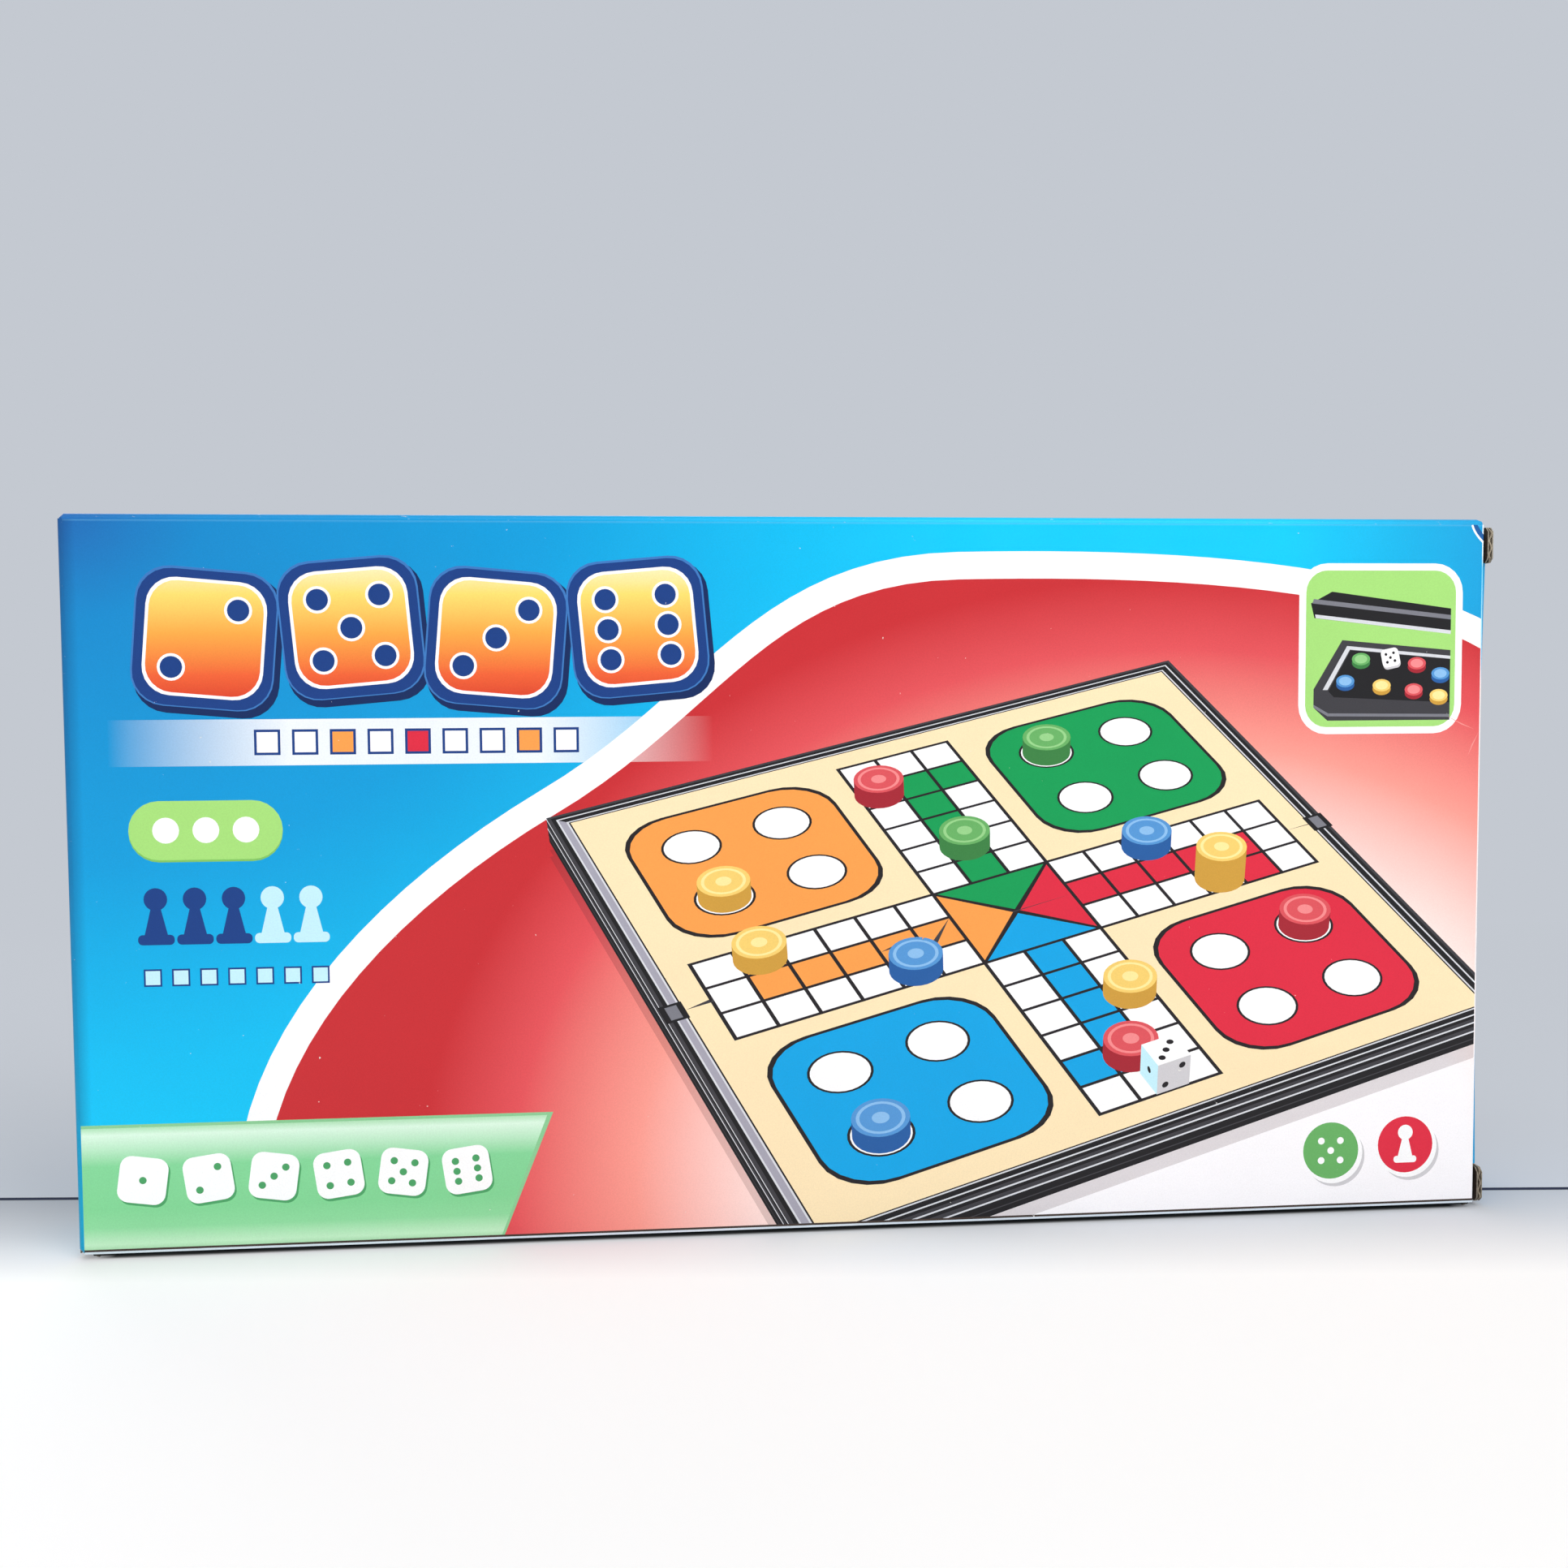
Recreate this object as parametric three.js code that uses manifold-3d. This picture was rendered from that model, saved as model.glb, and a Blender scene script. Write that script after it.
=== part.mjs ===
// A carton for a folding ludo board, standing on its long edge as it is shown on a shelf, with what
// it holds: the folded board case, its sixteen counters and its die. The carton is one sheet of
// corrugated board, creased and glued into a tube, with a tuck end at each side. Lengths are in
// millimetres. X runs along the carton, Y from its printed front to its back, and Z is up. The
// origin is on the floor, under the middle of the carton.
import * as THREE from "three";
import { mergeVertices } from "three/addons/utils/BufferGeometryUtils.js";
import Module from "manifold-3d";

const wasm = await Module();
wasm.setup();

// The folded board case, which the carton is made to fit
const caseLength = 320;
const caseWidth = 161.5; // of one half, from the fold to the opening edge
const caseThickness = 24; // of both halves, folded together

// The corrugated board of the carton and the room that it leaves
const boardThickness = 1.4;
const creaseGap = 0.4; // between two panels on the outside of a crease
const glueLine = 0.1;
const endClearance = 3.6; // from the case to the dust flaps
const topClearance = 3;
const seatGap = 0.3; // under whatever lies on something

// The tuck ends
const mainFlapStandOff = 1.3; // from the cut edge of a panel to the main flap that closes onto it
const mainFlapClearance = 1.2; // above and below a main flap
const slitLength = 8.5; // of the lock slit beside each end of a tongue
const slitWidth = 0.4;
const earSetBack = 0.3; // from a panel's face to the cut edge of the flap's ears
const earChamfer = 1.1;
const tongueDepth = 11;
const tongueCornerRadius = 9;
const tongueClearance = 1.4; // between a tongue and the panel it tucks behind
const tongueCaseGap = 0.3; // between a tongue and the case
const dustFlapLength = 23;
const dustFlapSideClearance = 0.5;
const dustFlapShoulder = 8.8; // length of the full-width root that the ears lock against
const dustFlapTongueClearance = 1;
const dustFlapTongueTaper = 6; // degrees, on the side of the tongue
const dustFlapHingeTaper = 30; // degrees, on the side where the main flap is creased
const dustFlapTipRadius = 3;

// The glue flap, creased to the bottom panel and glued behind the front panel
const glueFlapWidth = 16;
const glueFlapTongueGap = 2; // from the tip of a tongue to the root of the glue flap
const glueFlapEndTaper = 15; // degrees
const frontEdgeLift = 1.3; // from the floor to the cut lower edge of the front panel

// The case halves: two alike mouldings, hinged along the fold
const rimTopWidth = 2.4;
const rimSteps = 3;
const stepWidth = 1.8;
const stepHeight = 1.3;
const stepSlope = 0.5; // how far the riser of each step leans outwards
const flangeThickness = 1.6;
const wallInset = 4.5; // from the flange to the outside of the wall
const wallThickness = 2.2;
const foldLip = 0.8; // of the moulding between the board sheet and the fold
const sheetThickness = 0.8;
const sheetSetBack = 0.4; // of the board sheet below the rim
const sheetClearance = 0.3; // round the board sheet and behind it
const floorThickness = 1.6;
const matingGap = 0.3; // between the two halves' rims

// The hinge along the fold, the corner pegs and the snap hooks
const barrelRadius = 1.6;
const barrelClearance = 0.3;
const knuckleLength = 15;
const hingeInset = 36; // from the end of the case to the end of a hinge
const pinRadius = 0.75;
const pinClearance = 0.09;
const pinEndSetBack = 0.5;
const pegRadius = 1.3;
const pegLength = 3;
const pegClearance = 0.3;
const pegBossRadius = 3.2;
const pegInset = 26; // from the end of the case
const hookWidth = 16;
const hookOffset = 4; // from the middle of the case to the near side of a hook
const hookThickness = 1.4;
const hookReach = 5; // past the mating rim
const hookRoot = 4; // along the wall that carries the hook
const hookBead = 0.8;
const hookClearance = 0.3;

// The counters and the die, which lie on the lower wall inside the case
const counterDiameter = 16;
const counterHeight = 6.4;
const counterEdge = 0.8;
const counterRimWidth = 1.2; // of the flat ring inside the edge
const counterRecess = 0.7;
const counterBossRadius = 2.6;
const counterGap = 0.4;
const counterColours = ["red", "yellow", "green", "blue"];
const countersPerColour = 4;
const dieSize = 10;
const dieRoundingShare = 1.36; // radius of the sphere that rounds the die, as a share of half its side
const dieTurn = 18; // degrees, as it happens to lie

const overrun = 1; // of every cut past the face that it opens
const roundFacets = 20;
const holeFacets = 16;
const counterFacets = 18;

// Sizes that follow from the case and the board
const halfThickness = caseThickness / 2;
const rimWidth = rimTopWidth + rimSteps * stepWidth;
const foldShare = foldLip / rimWidth; // the moulding at the fold, as a share of the moulding elsewhere
const caseSeat = boardThickness + barrelRadius + seatGap;
const cartonLength = caseLength + 2 * (endClearance + boardThickness);
const cartonHeight = caseSeat + caseWidth + topClearance + boardThickness;
const tongueSpace = tongueClearance + boardThickness + tongueCaseGap;
const cartonDepth = caseThickness + 2 * (tongueSpace + boardThickness);
const panelEnd = cartonLength / 2; // the cut edge of a panel, where a tongue tucks in
const flapFace = panelEnd + mainFlapStandOff + boardThickness; // the outside of a main flap
const face = cartonDepth / 2;

const degrees = THREE.MathUtils.degToRad;

// Solids as three.js geometry, and cuts and joins between them
function solid(geometry) {
  const bare = new THREE.BufferGeometry();
  bare.setAttribute("position", geometry.getAttribute("position"));
  if (geometry.index) bare.setIndex(geometry.index);
  const merged = mergeVertices(bare);
  return new wasm.Manifold(
    new wasm.Mesh({
      numProp: 3,
      vertProperties: new Float32Array(merged.attributes.position.array),
      triVerts: new Uint32Array(merged.index.array),
    }),
  );
}

function geometryOf(manifold) {
  const mesh = manifold.getMesh();
  const geometry = new THREE.BufferGeometry();
  geometry.setAttribute("position", new THREE.BufferAttribute(mesh.vertProperties, 3));
  geometry.setIndex(new THREE.BufferAttribute(mesh.triVerts, 1));
  return geometry;
}

// A prism between two outlines of as many points: the outer face at z = 0 and the inner at depth
function sheetBetween(outer, inner, depth) {
  const count = outer.length;
  const positions = [];
  for (const [u, v] of outer) positions.push(u, v, 0);
  for (const [u, v] of inner) positions.push(u, v, depth);
  const indices = [];
  const vectors = (points) => points.map(([u, v]) => new THREE.Vector2(u, v));
  for (const [a, b, c] of THREE.ShapeUtils.triangulateShape(vectors(outer), [])) {
    indices.push(a, c, b);
  }
  for (const [a, b, c] of THREE.ShapeUtils.triangulateShape(vectors(inner), [])) {
    indices.push(count + a, count + b, count + c);
  }
  for (let i = 0; i < count; i++) {
    const next = (i + 1) % count;
    indices.push(i, next, count + next, i, count + next, count + i);
  }
  const geometry = new THREE.BufferGeometry();
  geometry.setAttribute("position", new THREE.Float32BufferAttribute(positions, 3));
  geometry.setIndex(indices);
  return geometry;
}

// A piece of board. Each outline point is [u, v, du, dv]: du and dv move it on the inner face, which
// mitres the board along its creases.
function boardPiece(outline) {
  const outer = outline.map(([u, v]) => [u, v]);
  const inner = outline.map(([u, v, du = 0, dv = 0]) => [u + du, v + dv]);
  return sheetBetween(outer, inner, boardThickness);
}

// A panel of the tube, from low to high corner, mitred on each side that is creased
function panel(low, high, creased) {
  const slack = creaseGap / 2;
  const side = (isCreased) => (isCreased ? boardThickness : 0);
  const shift = (isCreased) => (isCreased ? slack : 0);
  const u0 = low[0] + shift(creased.u0);
  const u1 = high[0] - shift(creased.u1);
  const v0 = low[1] + shift(creased.v0);
  const v1 = high[1] - shift(creased.v1);
  return boardPiece([
    [u0, v0, side(creased.u0), side(creased.v0)],
    [u1, v0, -side(creased.u1), side(creased.v0)],
    [u1, v1, -side(creased.u1), -side(creased.v1)],
    [u0, v1, side(creased.u0), -side(creased.v1)],
  ]);
}

// Points of a quarter round of the given radius about a centre, from one angle to another
function corner(centreU, centreV, radius, fromAngle, toAngle, steps = 4) {
  const points = [];
  for (let i = 0; i <= steps; i++) {
    const angle = degrees(fromAngle + ((toAngle - fromAngle) * i) / steps);
    points.push([centreU + radius * Math.cos(angle), centreV + radius * Math.sin(angle)]);
  }
  return points;
}

// Materials, in the colours of the real thing
function plastic(colour, roughness) {
  return new THREE.MeshStandardMaterial({ color: colour, roughness, metalness: 0 });
}

const printedBlue = plastic(0x1688cf, 0.45);
const printedRed = plastic(0xd03c46, 0.45);
const plainBoard = plastic(0x8d8478, 0.9);
const caseBlack = plastic(0x1c1d20, 0.4);
const sheetCream = plastic(0xf6e3b4, 0.4);
const steel = new THREE.MeshStandardMaterial({ color: 0xb9bcc0, roughness: 0.35, metalness: 1 });
const dieWhite = plastic(0xf2f0ea, 0.3);
const counterMaterials = {
  red: plastic(0xd8303f, 0.25),
  yellow: plastic(0xf2d95c, 0.25),
  green: plastic(0x3fa65a, 0.25),
  blue: plastic(0x2f7fd0, 0.25),
};

function piece(name, geometry, material) {
  geometry.computeVertexNormals();
  const mesh = new THREE.Mesh(geometry, material);
  mesh.name = name;
  return mesh;
}

// Lays a piece of board with its u axis and its v axis along two directions. Its inner face looks
// along their cross product.
function lay(mesh, origin, uAxis, vAxis) {
  const u = new THREE.Vector3(...uAxis);
  const v = new THREE.Vector3(...vAxis);
  const basis = new THREE.Matrix4().makeBasis(u, v, u.clone().cross(v));
  mesh.quaternion.setFromRotationMatrix(basis);
  mesh.position.set(...origin);
  return mesh;
}

// The tube: four panels and the glue flap. The front panel carries the left main flap, and the back
// panel the right one.
function frontPanel() {
  const low = [frontEdgeLift, -flapFace];
  const high = [cartonHeight, panelEnd];
  const made = panel(low, high, { u0: false, u1: true, v0: true, v1: false });
  return lay(piece("front_panel", made, printedRed), [0, -face, 0], [0, 0, 1], [1, 0, 0]);
}

function backPanel() {
  const low = [-panelEnd, 0];
  const high = [flapFace, cartonHeight];
  const made = panel(low, high, { u0: false, u1: true, v0: true, v1: true });
  return lay(piece("back_panel", made, printedBlue), [0, face, 0], [1, 0, 0], [0, 0, 1]);
}

function topPanel() {
  const made = panel([-face, -panelEnd], [face, panelEnd], { u0: true, u1: true, v0: true, v1: true });
  return lay(piece("top_panel", made, printedBlue), [0, 0, cartonHeight], [0, 1, 0], [1, 0, 0]);
}

const glueFlapFace = -face + boardThickness + glueLine;

function bottomPanel() {
  const low = [-panelEnd, glueFlapFace];
  const made = panel(low, [panelEnd, face], { u0: true, u1: true, v0: true, v1: true });
  return lay(piece("bottom_panel", made, printedBlue), [0, 0, 0], [1, 0, 0], [0, 1, 0]);
}

function glueFlap() {
  const slack = creaseGap / 2;
  const rootEnd = flapFace - tongueDepth - glueFlapTongueGap;
  const tipEnd = rootEnd - glueFlapWidth * Math.tan(degrees(glueFlapEndTaper));
  const made = boardPiece([
    [slack, -rootEnd, boardThickness, 0],
    [glueFlapWidth, -tipEnd],
    [glueFlapWidth, tipEnd],
    [slack, rootEnd, boardThickness, 0],
  ]);
  return lay(piece("glue_flap", made, plainBoard), [0, glueFlapFace, 0], [0, 0, 1], [1, 0, 0]);
}

// A tuck end, made for the right side: the main flap is creased to the back panel, and its tongue
// tucks in behind the front panel. The left one is the same end, turned half a turn.
const tongueFace = -face + boardThickness + tongueClearance;
const mainFlapLength = face - tongueFace;
const mainFlapHalfHeight = cartonHeight / 2 - mainFlapClearance;
const tongueHalfHeight = mainFlapHalfHeight - slitLength - slitWidth;

function mainFlap(side) {
  const slack = creaseGap / 2;
  const top = mainFlapHalfHeight;
  const slit = mainFlapHalfHeight - slitLength;
  const crease = mainFlapLength - slack;
  const ear = 2 * face - earSetBack;
  const made = boardPiece([
    [-top, slack, 0, boardThickness],
    [top, slack, 0, boardThickness],
    [top, ear - earChamfer],
    [top - earChamfer, ear],
    [slit + earChamfer, ear],
    [slit, ear - earChamfer],
    [slit, crease],
    [tongueHalfHeight, crease, 0, -boardThickness],
    [-tongueHalfHeight, crease, 0, -boardThickness],
    [-slit, crease],
    [-slit, ear - earChamfer],
    [-slit - earChamfer, ear],
    [earChamfer - top, ear],
    [-top, ear - earChamfer],
  ]);
  const mesh = piece(`${side}_main_flap`, made, printedBlue);
  return lay(mesh, [flapFace, face, cartonHeight / 2], [0, 0, -1], [0, -1, 0]);
}

function tongue(side) {
  const slack = creaseGap / 2;
  const half = tongueHalfHeight;
  const radius = tongueCornerRadius;
  const made = boardPiece([
    [-half, slack, 0, boardThickness],
    [half, slack, 0, boardThickness],
    ...corner(half - radius, tongueDepth - radius, radius, 0, 90),
    ...corner(radius - half, tongueDepth - radius, radius, 90, 180),
  ]);
  const mesh = piece(`${side}_tongue`, made, printedBlue);
  return lay(mesh, [flapFace, tongueFace, cartonHeight / 2], [0, 0, -1], [-1, 0, 0]);
}

// The outline of the top dust flap: u is away from the front panel and v away from the crease
function dustFlapOutline() {
  const slack = creaseGap / 2;
  const rootFront = -face + boardThickness + dustFlapSideClearance;
  const rootBack = -rootFront;
  const shoulder = tongueFace + boardThickness + dustFlapTongueClearance;
  const tip = dustFlapLength;
  const tipFront = shoulder + (tip - dustFlapShoulder) * Math.tan(degrees(dustFlapTongueTaper));
  const tipBack = rootBack - tip * Math.tan(degrees(dustFlapHingeTaper));
  const radius = dustFlapTipRadius;
  return [
    [rootFront, slack, 0, boardThickness],
    [rootBack, slack, 0, boardThickness],
    ...corner(tipBack - radius, tip - radius, radius, 0, 90, 3),
    ...corner(tipFront + radius, tip - radius, radius, 90, 180, 3),
    [shoulder, dustFlapShoulder],
    [rootFront, dustFlapShoulder],
  ];
}

function dustFlap(side, level) {
  const outline = dustFlapOutline();
  if (level === "top") {
    const mesh = piece(`${side}_top_dust_flap`, boardPiece(outline), printedBlue);
    return lay(mesh, [panelEnd, 0, cartonHeight], [0, 1, 0], [0, 0, -1]);
  }
  const mirrored = outline.map(([u, v, du, dv]) => [-u, v, du, dv]).reverse();
  const mesh = piece(`${side}_bottom_dust_flap`, boardPiece(mirrored), printedBlue);
  return lay(mesh, [panelEnd, 0, 0], [0, -1, 0], [0, 0, 1]);
}

function tuckEnd(side) {
  const end = new THREE.Group();
  end.add(mainFlap(side), tongue(side), dustFlap(side, "top"), dustFlap(side, "bottom"));
  return end;
}

// One half of the case, lying with its board face at z = 0 and its mating rim at halfThickness. x
// runs along the fold, and y from the fold to the opening edge.
function ring(inset, foldInset, depth) {
  const x = caseLength / 2 - inset;
  return [
    [-x, foldInset, depth],
    [x, foldInset, depth],
    [x, caseWidth - inset, depth],
    [-x, caseWidth - inset, depth],
  ];
}

function halfRings() {
  const outside = (inset, depth) => ring(inset, inset * foldShare, depth);
  const rings = [outside(rimWidth, sheetRecess), outside(rimWidth, 0)];
  for (let step = 0; step < rimSteps; step++) {
    const edge = rimWidth - rimTopWidth - step * stepWidth;
    rings.push(outside(edge, step * stepHeight));
    rings.push(outside(edge - stepSlope, (step + 1) * stepHeight));
  }
  const flangeTop = rimSteps * stepHeight;
  rings.push(outside(0, flangeTop));
  rings.push(outside(0, flangeTop + flangeThickness));
  rings.push(outside(wallInset, flangeTop + flangeThickness));
  const rim = halfThickness - matingGap / 2;
  rings.push(outside(wallInset, rim));
  const cavity = (depth) => ring(wallInset + wallThickness, cavityFoldInset, depth);
  rings.push(cavity(rim), cavity(cavityFloor));
  return rings;
}

const sheetRecess = sheetSetBack + sheetThickness + sheetClearance;
const cavityFloor = sheetRecess + floorThickness;
const cavityFoldInset = wallInset * foldShare + wallThickness;

// A closed body through four-cornered rings, with the first and the last ring capped
function throughRings(rings) {
  const positions = rings.flat(2);
  const indices = [0, 2, 1, 0, 3, 2];
  const cap = (rings.length - 1) * 4;
  rings.slice(1).forEach((_, i) => {
    for (let k = 0; k < 4; k++) {
      const a = i * 4 + k;
      const b = i * 4 + ((k + 1) % 4);
      indices.push(a, b, b + 4, a, b + 4, a + 4);
    }
  });
  indices.push(cap, cap + 1, cap + 2, cap, cap + 2, cap + 3);
  const geometry = new THREE.BufferGeometry();
  geometry.setAttribute("position", new THREE.Float32BufferAttribute(positions, 3));
  geometry.setIndex(indices);
  return geometry;
}

// A round bar along x, between two places on the fold line or beside it
function barAlongFold(radius, from, to, facets = roundFacets) {
  const bar = new THREE.CylinderGeometry(radius, radius, to - from, facets);
  bar.rotateZ(Math.PI / 2);
  bar.translate((from + to) / 2, 0, halfThickness);
  return bar;
}

function roundAcrossRim(radius, x, y, from, to) {
  const bar = new THREE.CylinderGeometry(radius, radius, to - from, holeFacets);
  bar.rotateX(Math.PI / 2);
  bar.translate(x, y, (from + to) / 2);
  return bar;
}

function block(x, y, z) {
  const made = new THREE.BoxGeometry(x[1] - x[0], y[1] - y[0], z[1] - z[0]);
  made.translate((x[0] + x[1]) / 2, (y[0] + y[1]) / 2, (z[0] + z[1]) / 2);
  return made;
}

// The middle of each hinge, where a knuckle of one half meets a knuckle of the other
const hingeMiddle = caseLength / 2 - hingeInset - knuckleLength;

function caseHalfGeometry() {
  let half = solid(throughRings(halfRings()));
  // Each half has a knuckle on one side of each hinge, and a pocket for the other half's knuckle.
  const ownStarts = [hingeMiddle - knuckleLength, -hingeMiddle - knuckleLength];
  for (const start of ownStarts) {
    const pocketStart = start + knuckleLength;
    const pocketRadius = barrelRadius + barrelClearance;
    const pocketEnd = pocketStart + knuckleLength + barrelClearance;
    half = half.subtract(solid(barAlongFold(pocketRadius, pocketStart, pocketEnd)));
    half = half.add(solid(barAlongFold(barrelRadius, start, pocketStart - barrelClearance / 2)));
    const bore = pinRadius + pinClearance;
    half = half.subtract(solid(barAlongFold(bore, start - overrun, pocketEnd + overrun, holeFacets)));
  }
  // A boss with a peg near one corner, and a boss with a hole near the other
  const rim = halfThickness - matingGap / 2;
  const pegX = caseLength / 2 - pegInset;
  const pegY = caseWidth - wallInset - wallThickness - pegRadius;
  const pegTip = rim + pegLength;
  const bossFloor = cavityFloor - floorThickness / 2;
  for (const x of [-pegX, pegX]) {
    half = half.add(solid(roundAcrossRim(pegBossRadius, x, pegY, bossFloor, rim)));
  }
  half = half.add(solid(roundAcrossRim(pegRadius, -pegX, pegY, rim - overrun, pegTip)));
  const holeFloor = rim - pegLength - pegClearance;
  const holeRadius = pegRadius + pegClearance;
  half = half.subtract(solid(roundAcrossRim(holeRadius, pegX, pegY, holeFloor, rim + overrun)));
  // A snap hook that reaches inside the other half's wall, and the shallow groove that its bead takes
  const wallFace = caseWidth - wallInset - wallThickness;
  const hookFace = wallFace - hookClearance;
  const hookX = [hookOffset, hookOffset + hookWidth];
  const hookZ = [rim - hookRoot, rim + hookReach];
  half = half.add(solid(block(hookX, [hookFace - hookThickness, hookFace], hookZ)));
  half = half.add(solid(block(hookX, [hookFace - hookThickness, wallFace + overrun], [hookZ[0], rim])));
  const beadZ = [rim + hookReach - 2 * hookBead, rim + hookReach];
  half = half.add(solid(block(hookX, [hookFace - overrun, hookFace + hookBead], beadZ)));
  const grooveX = [-hookX[1] - hookClearance, -hookX[0] + hookClearance];
  const other = 2 * halfThickness;
  const grooveZ = [other - beadZ[1] - hookClearance, other - beadZ[0] + hookClearance];
  const grooveY = [wallFace - overrun, hookFace + hookBead + hookClearance];
  half = half.subtract(solid(block(grooveX, grooveY, grooveZ)));
  return geometryOf(half);
}

function boardSheet() {
  const inset = rimWidth + sheetClearance;
  const fold = foldLip + sheetClearance;
  const x = caseLength / 2 - inset;
  return block([-x, x], [fold, caseWidth - inset], [sheetSetBack, sheetSetBack + sheetThickness]);
}

// A half, with its board sheet, stood up with the fold at the bottom. Its board face looks along +Y.
function caseHalf(side) {
  const half = new THREE.Group();
  const shell = piece(`${side}_case_half`, caseHalfGeometry(), caseBlack);
  const sheet = piece(`${side}_board_sheet`, boardSheet(), sheetCream);
  half.add(shell, sheet);
  half.rotation.x = Math.PI / 2;
  half.position.y = halfThickness;
  const stood = new THREE.Group();
  stood.add(half);
  return stood;
}

function hingePin(side, middle) {
  const reach = knuckleLength - pinEndSetBack;
  const bar = barAlongFold(pinRadius, -reach, reach, holeFacets);
  bar.translate(0, 0, -halfThickness);
  const pin = piece(`${side}_hinge_pin`, bar, steel);
  pin.position.x = middle;
  return pin;
}

// A counter: a disc that lies on z = 0, with a raised ring and boss on its upper face
function counterGeometry() {
  const radius = counterDiameter / 2;
  const flat = radius - counterEdge;
  const rim = flat - counterRimWidth;
  const sunk = counterHeight - counterRecess;
  const profile = [
    [0, 0],
    [flat, 0],
    [radius, counterEdge],
    [radius, counterHeight - counterEdge],
    [flat, counterHeight],
    [rim, counterHeight],
    [rim - counterRecess, sunk],
    [counterBossRadius + counterRecess, sunk],
    [counterBossRadius, counterHeight],
    [0, counterHeight],
  ];
  const points = profile.map(([r, z]) => new THREE.Vector2(r, z));
  const disc = new THREE.LatheGeometry(points, counterFacets);
  disc.rotateX(Math.PI / 2);
  return disc;
}

function dieGeometry() {
  const cube = new THREE.BoxGeometry(dieSize, dieSize, dieSize);
  const radius = (dieRoundingShare * dieSize) / 2;
  const ball = new THREE.SphereGeometry(radius, roundFacets, roundFacets / 2);
  return geometryOf(solid(cube).intersect(solid(ball)));
}

// The counters stand on edge in two rows on the lower wall of the closed case, one row in each half,
// from its left end on. The die lies after them.
function loosePieces() {
  const loose = new THREE.Group();
  const radius = counterDiameter / 2;
  const pitch = counterDiameter + counterGap;
  const first = wallInset + wallThickness + counterGap + radius - caseLength / 2;
  const floor = cavityFoldInset + seatGap;
  const count = counterColours.length * countersPerColour;
  for (let i = 0; i < count; i++) {
    const colour = counterColours[Math.floor(i / countersPerColour)];
    const name = `${colour}_counter_${(i % countersPerColour) + 1}`;
    const counter = piece(name, counterGeometry(), counterMaterials[colour]);
    const outwards = i % 2 ? 1 : -1;
    counter.rotation.x = (-outwards * Math.PI) / 2;
    counter.position.set(first + Math.floor(i / 2) * pitch, (outwards * counterGap) / 2, floor + radius);
    loose.add(counter);
  }
  const die = piece("die", dieGeometry(), dieWhite);
  const dieReach = dieSize * Math.SQRT1_2;
  die.position.set(first + (count / 2 - 1) * pitch + radius + counterGap + dieReach, 0, floor + dieSize / 2);
  die.rotation.z = degrees(dieTurn);
  loose.add(die);
  return loose;
}

function boardCase() {
  const folded = new THREE.Group();
  const rear = caseHalf("rear");
  const front = caseHalf("front");
  front.rotation.z = Math.PI;
  folded.add(front, rear, loosePieces());
  folded.add(hingePin("right", hingeMiddle), hingePin("left", -hingeMiddle));
  folded.position.z = caseSeat;
  return folded;
}

const carton = new THREE.Group();
carton.add(frontPanel(), backPanel(), topPanel(), bottomPanel(), glueFlap());
carton.add(tuckEnd("right"));
const leftEnd = tuckEnd("left");
leftEnd.rotation.z = Math.PI;
carton.add(leftEnd);
carton.add(boardCase());

export default carton;
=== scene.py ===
# %% [markdown]
# A folding board game in its printed carton.
# The real object is a shop carton of thin corrugated board. It stands on one long edge, closed at
# both ends by tucked flaps, and holds a black folding board case with its counters and die.
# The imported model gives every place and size, so the first step loads it and keeps its box.

# %% The frame
import math

import bmesh
import bpy
from mathutils import Euler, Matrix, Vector
from mathutils.geometry import delaunay_2d_cdt


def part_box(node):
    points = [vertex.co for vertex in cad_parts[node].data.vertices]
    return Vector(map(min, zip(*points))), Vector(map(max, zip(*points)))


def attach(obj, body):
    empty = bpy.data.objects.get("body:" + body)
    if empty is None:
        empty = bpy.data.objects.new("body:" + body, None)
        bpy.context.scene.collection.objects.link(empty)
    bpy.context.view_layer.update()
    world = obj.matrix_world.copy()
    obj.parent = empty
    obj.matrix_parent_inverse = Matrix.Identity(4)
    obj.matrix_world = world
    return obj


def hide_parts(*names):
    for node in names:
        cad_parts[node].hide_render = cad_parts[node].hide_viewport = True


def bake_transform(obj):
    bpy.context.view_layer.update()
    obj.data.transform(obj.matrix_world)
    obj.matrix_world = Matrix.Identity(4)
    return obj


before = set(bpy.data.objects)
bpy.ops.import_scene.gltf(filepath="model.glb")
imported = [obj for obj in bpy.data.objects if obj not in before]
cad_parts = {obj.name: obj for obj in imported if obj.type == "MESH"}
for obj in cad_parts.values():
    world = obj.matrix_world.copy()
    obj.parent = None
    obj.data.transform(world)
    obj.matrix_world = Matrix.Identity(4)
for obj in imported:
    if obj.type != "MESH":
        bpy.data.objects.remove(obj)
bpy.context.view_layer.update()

MM = 0.001


def box_mm(node):
    low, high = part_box(node)
    return low / MM, high / MM


# %% [markdown]
# Every place on the carton follows from a few of its planes. They are read from the frame rather
# than typed, so that the dressing fits the solids that it covers. Lengths are in millimetres here,
# because board is made and measured in them, and turn into metres where a point is placed.

# %% The planes of the carton
front_low, front_high = box_mm("front_panel")
glue_low, glue_high = box_mm("glue_flap")
flap_low, flap_high = box_mm("right_main_flap")
tongue_low, tongue_high = box_mm("right_tongue")

FACE = box_mm("back_panel")[1].y
BOARD = front_high.y - front_low.y
CARTON_TOP = box_mm("top_panel")[1].z
PANEL_END = front_high.x
FLAP_FACE = flap_high.x
FRONT_FOOT = front_low.z
print("board thickness:", round(BOARD, 2), "depth:", round(2 * FACE, 1))

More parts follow.
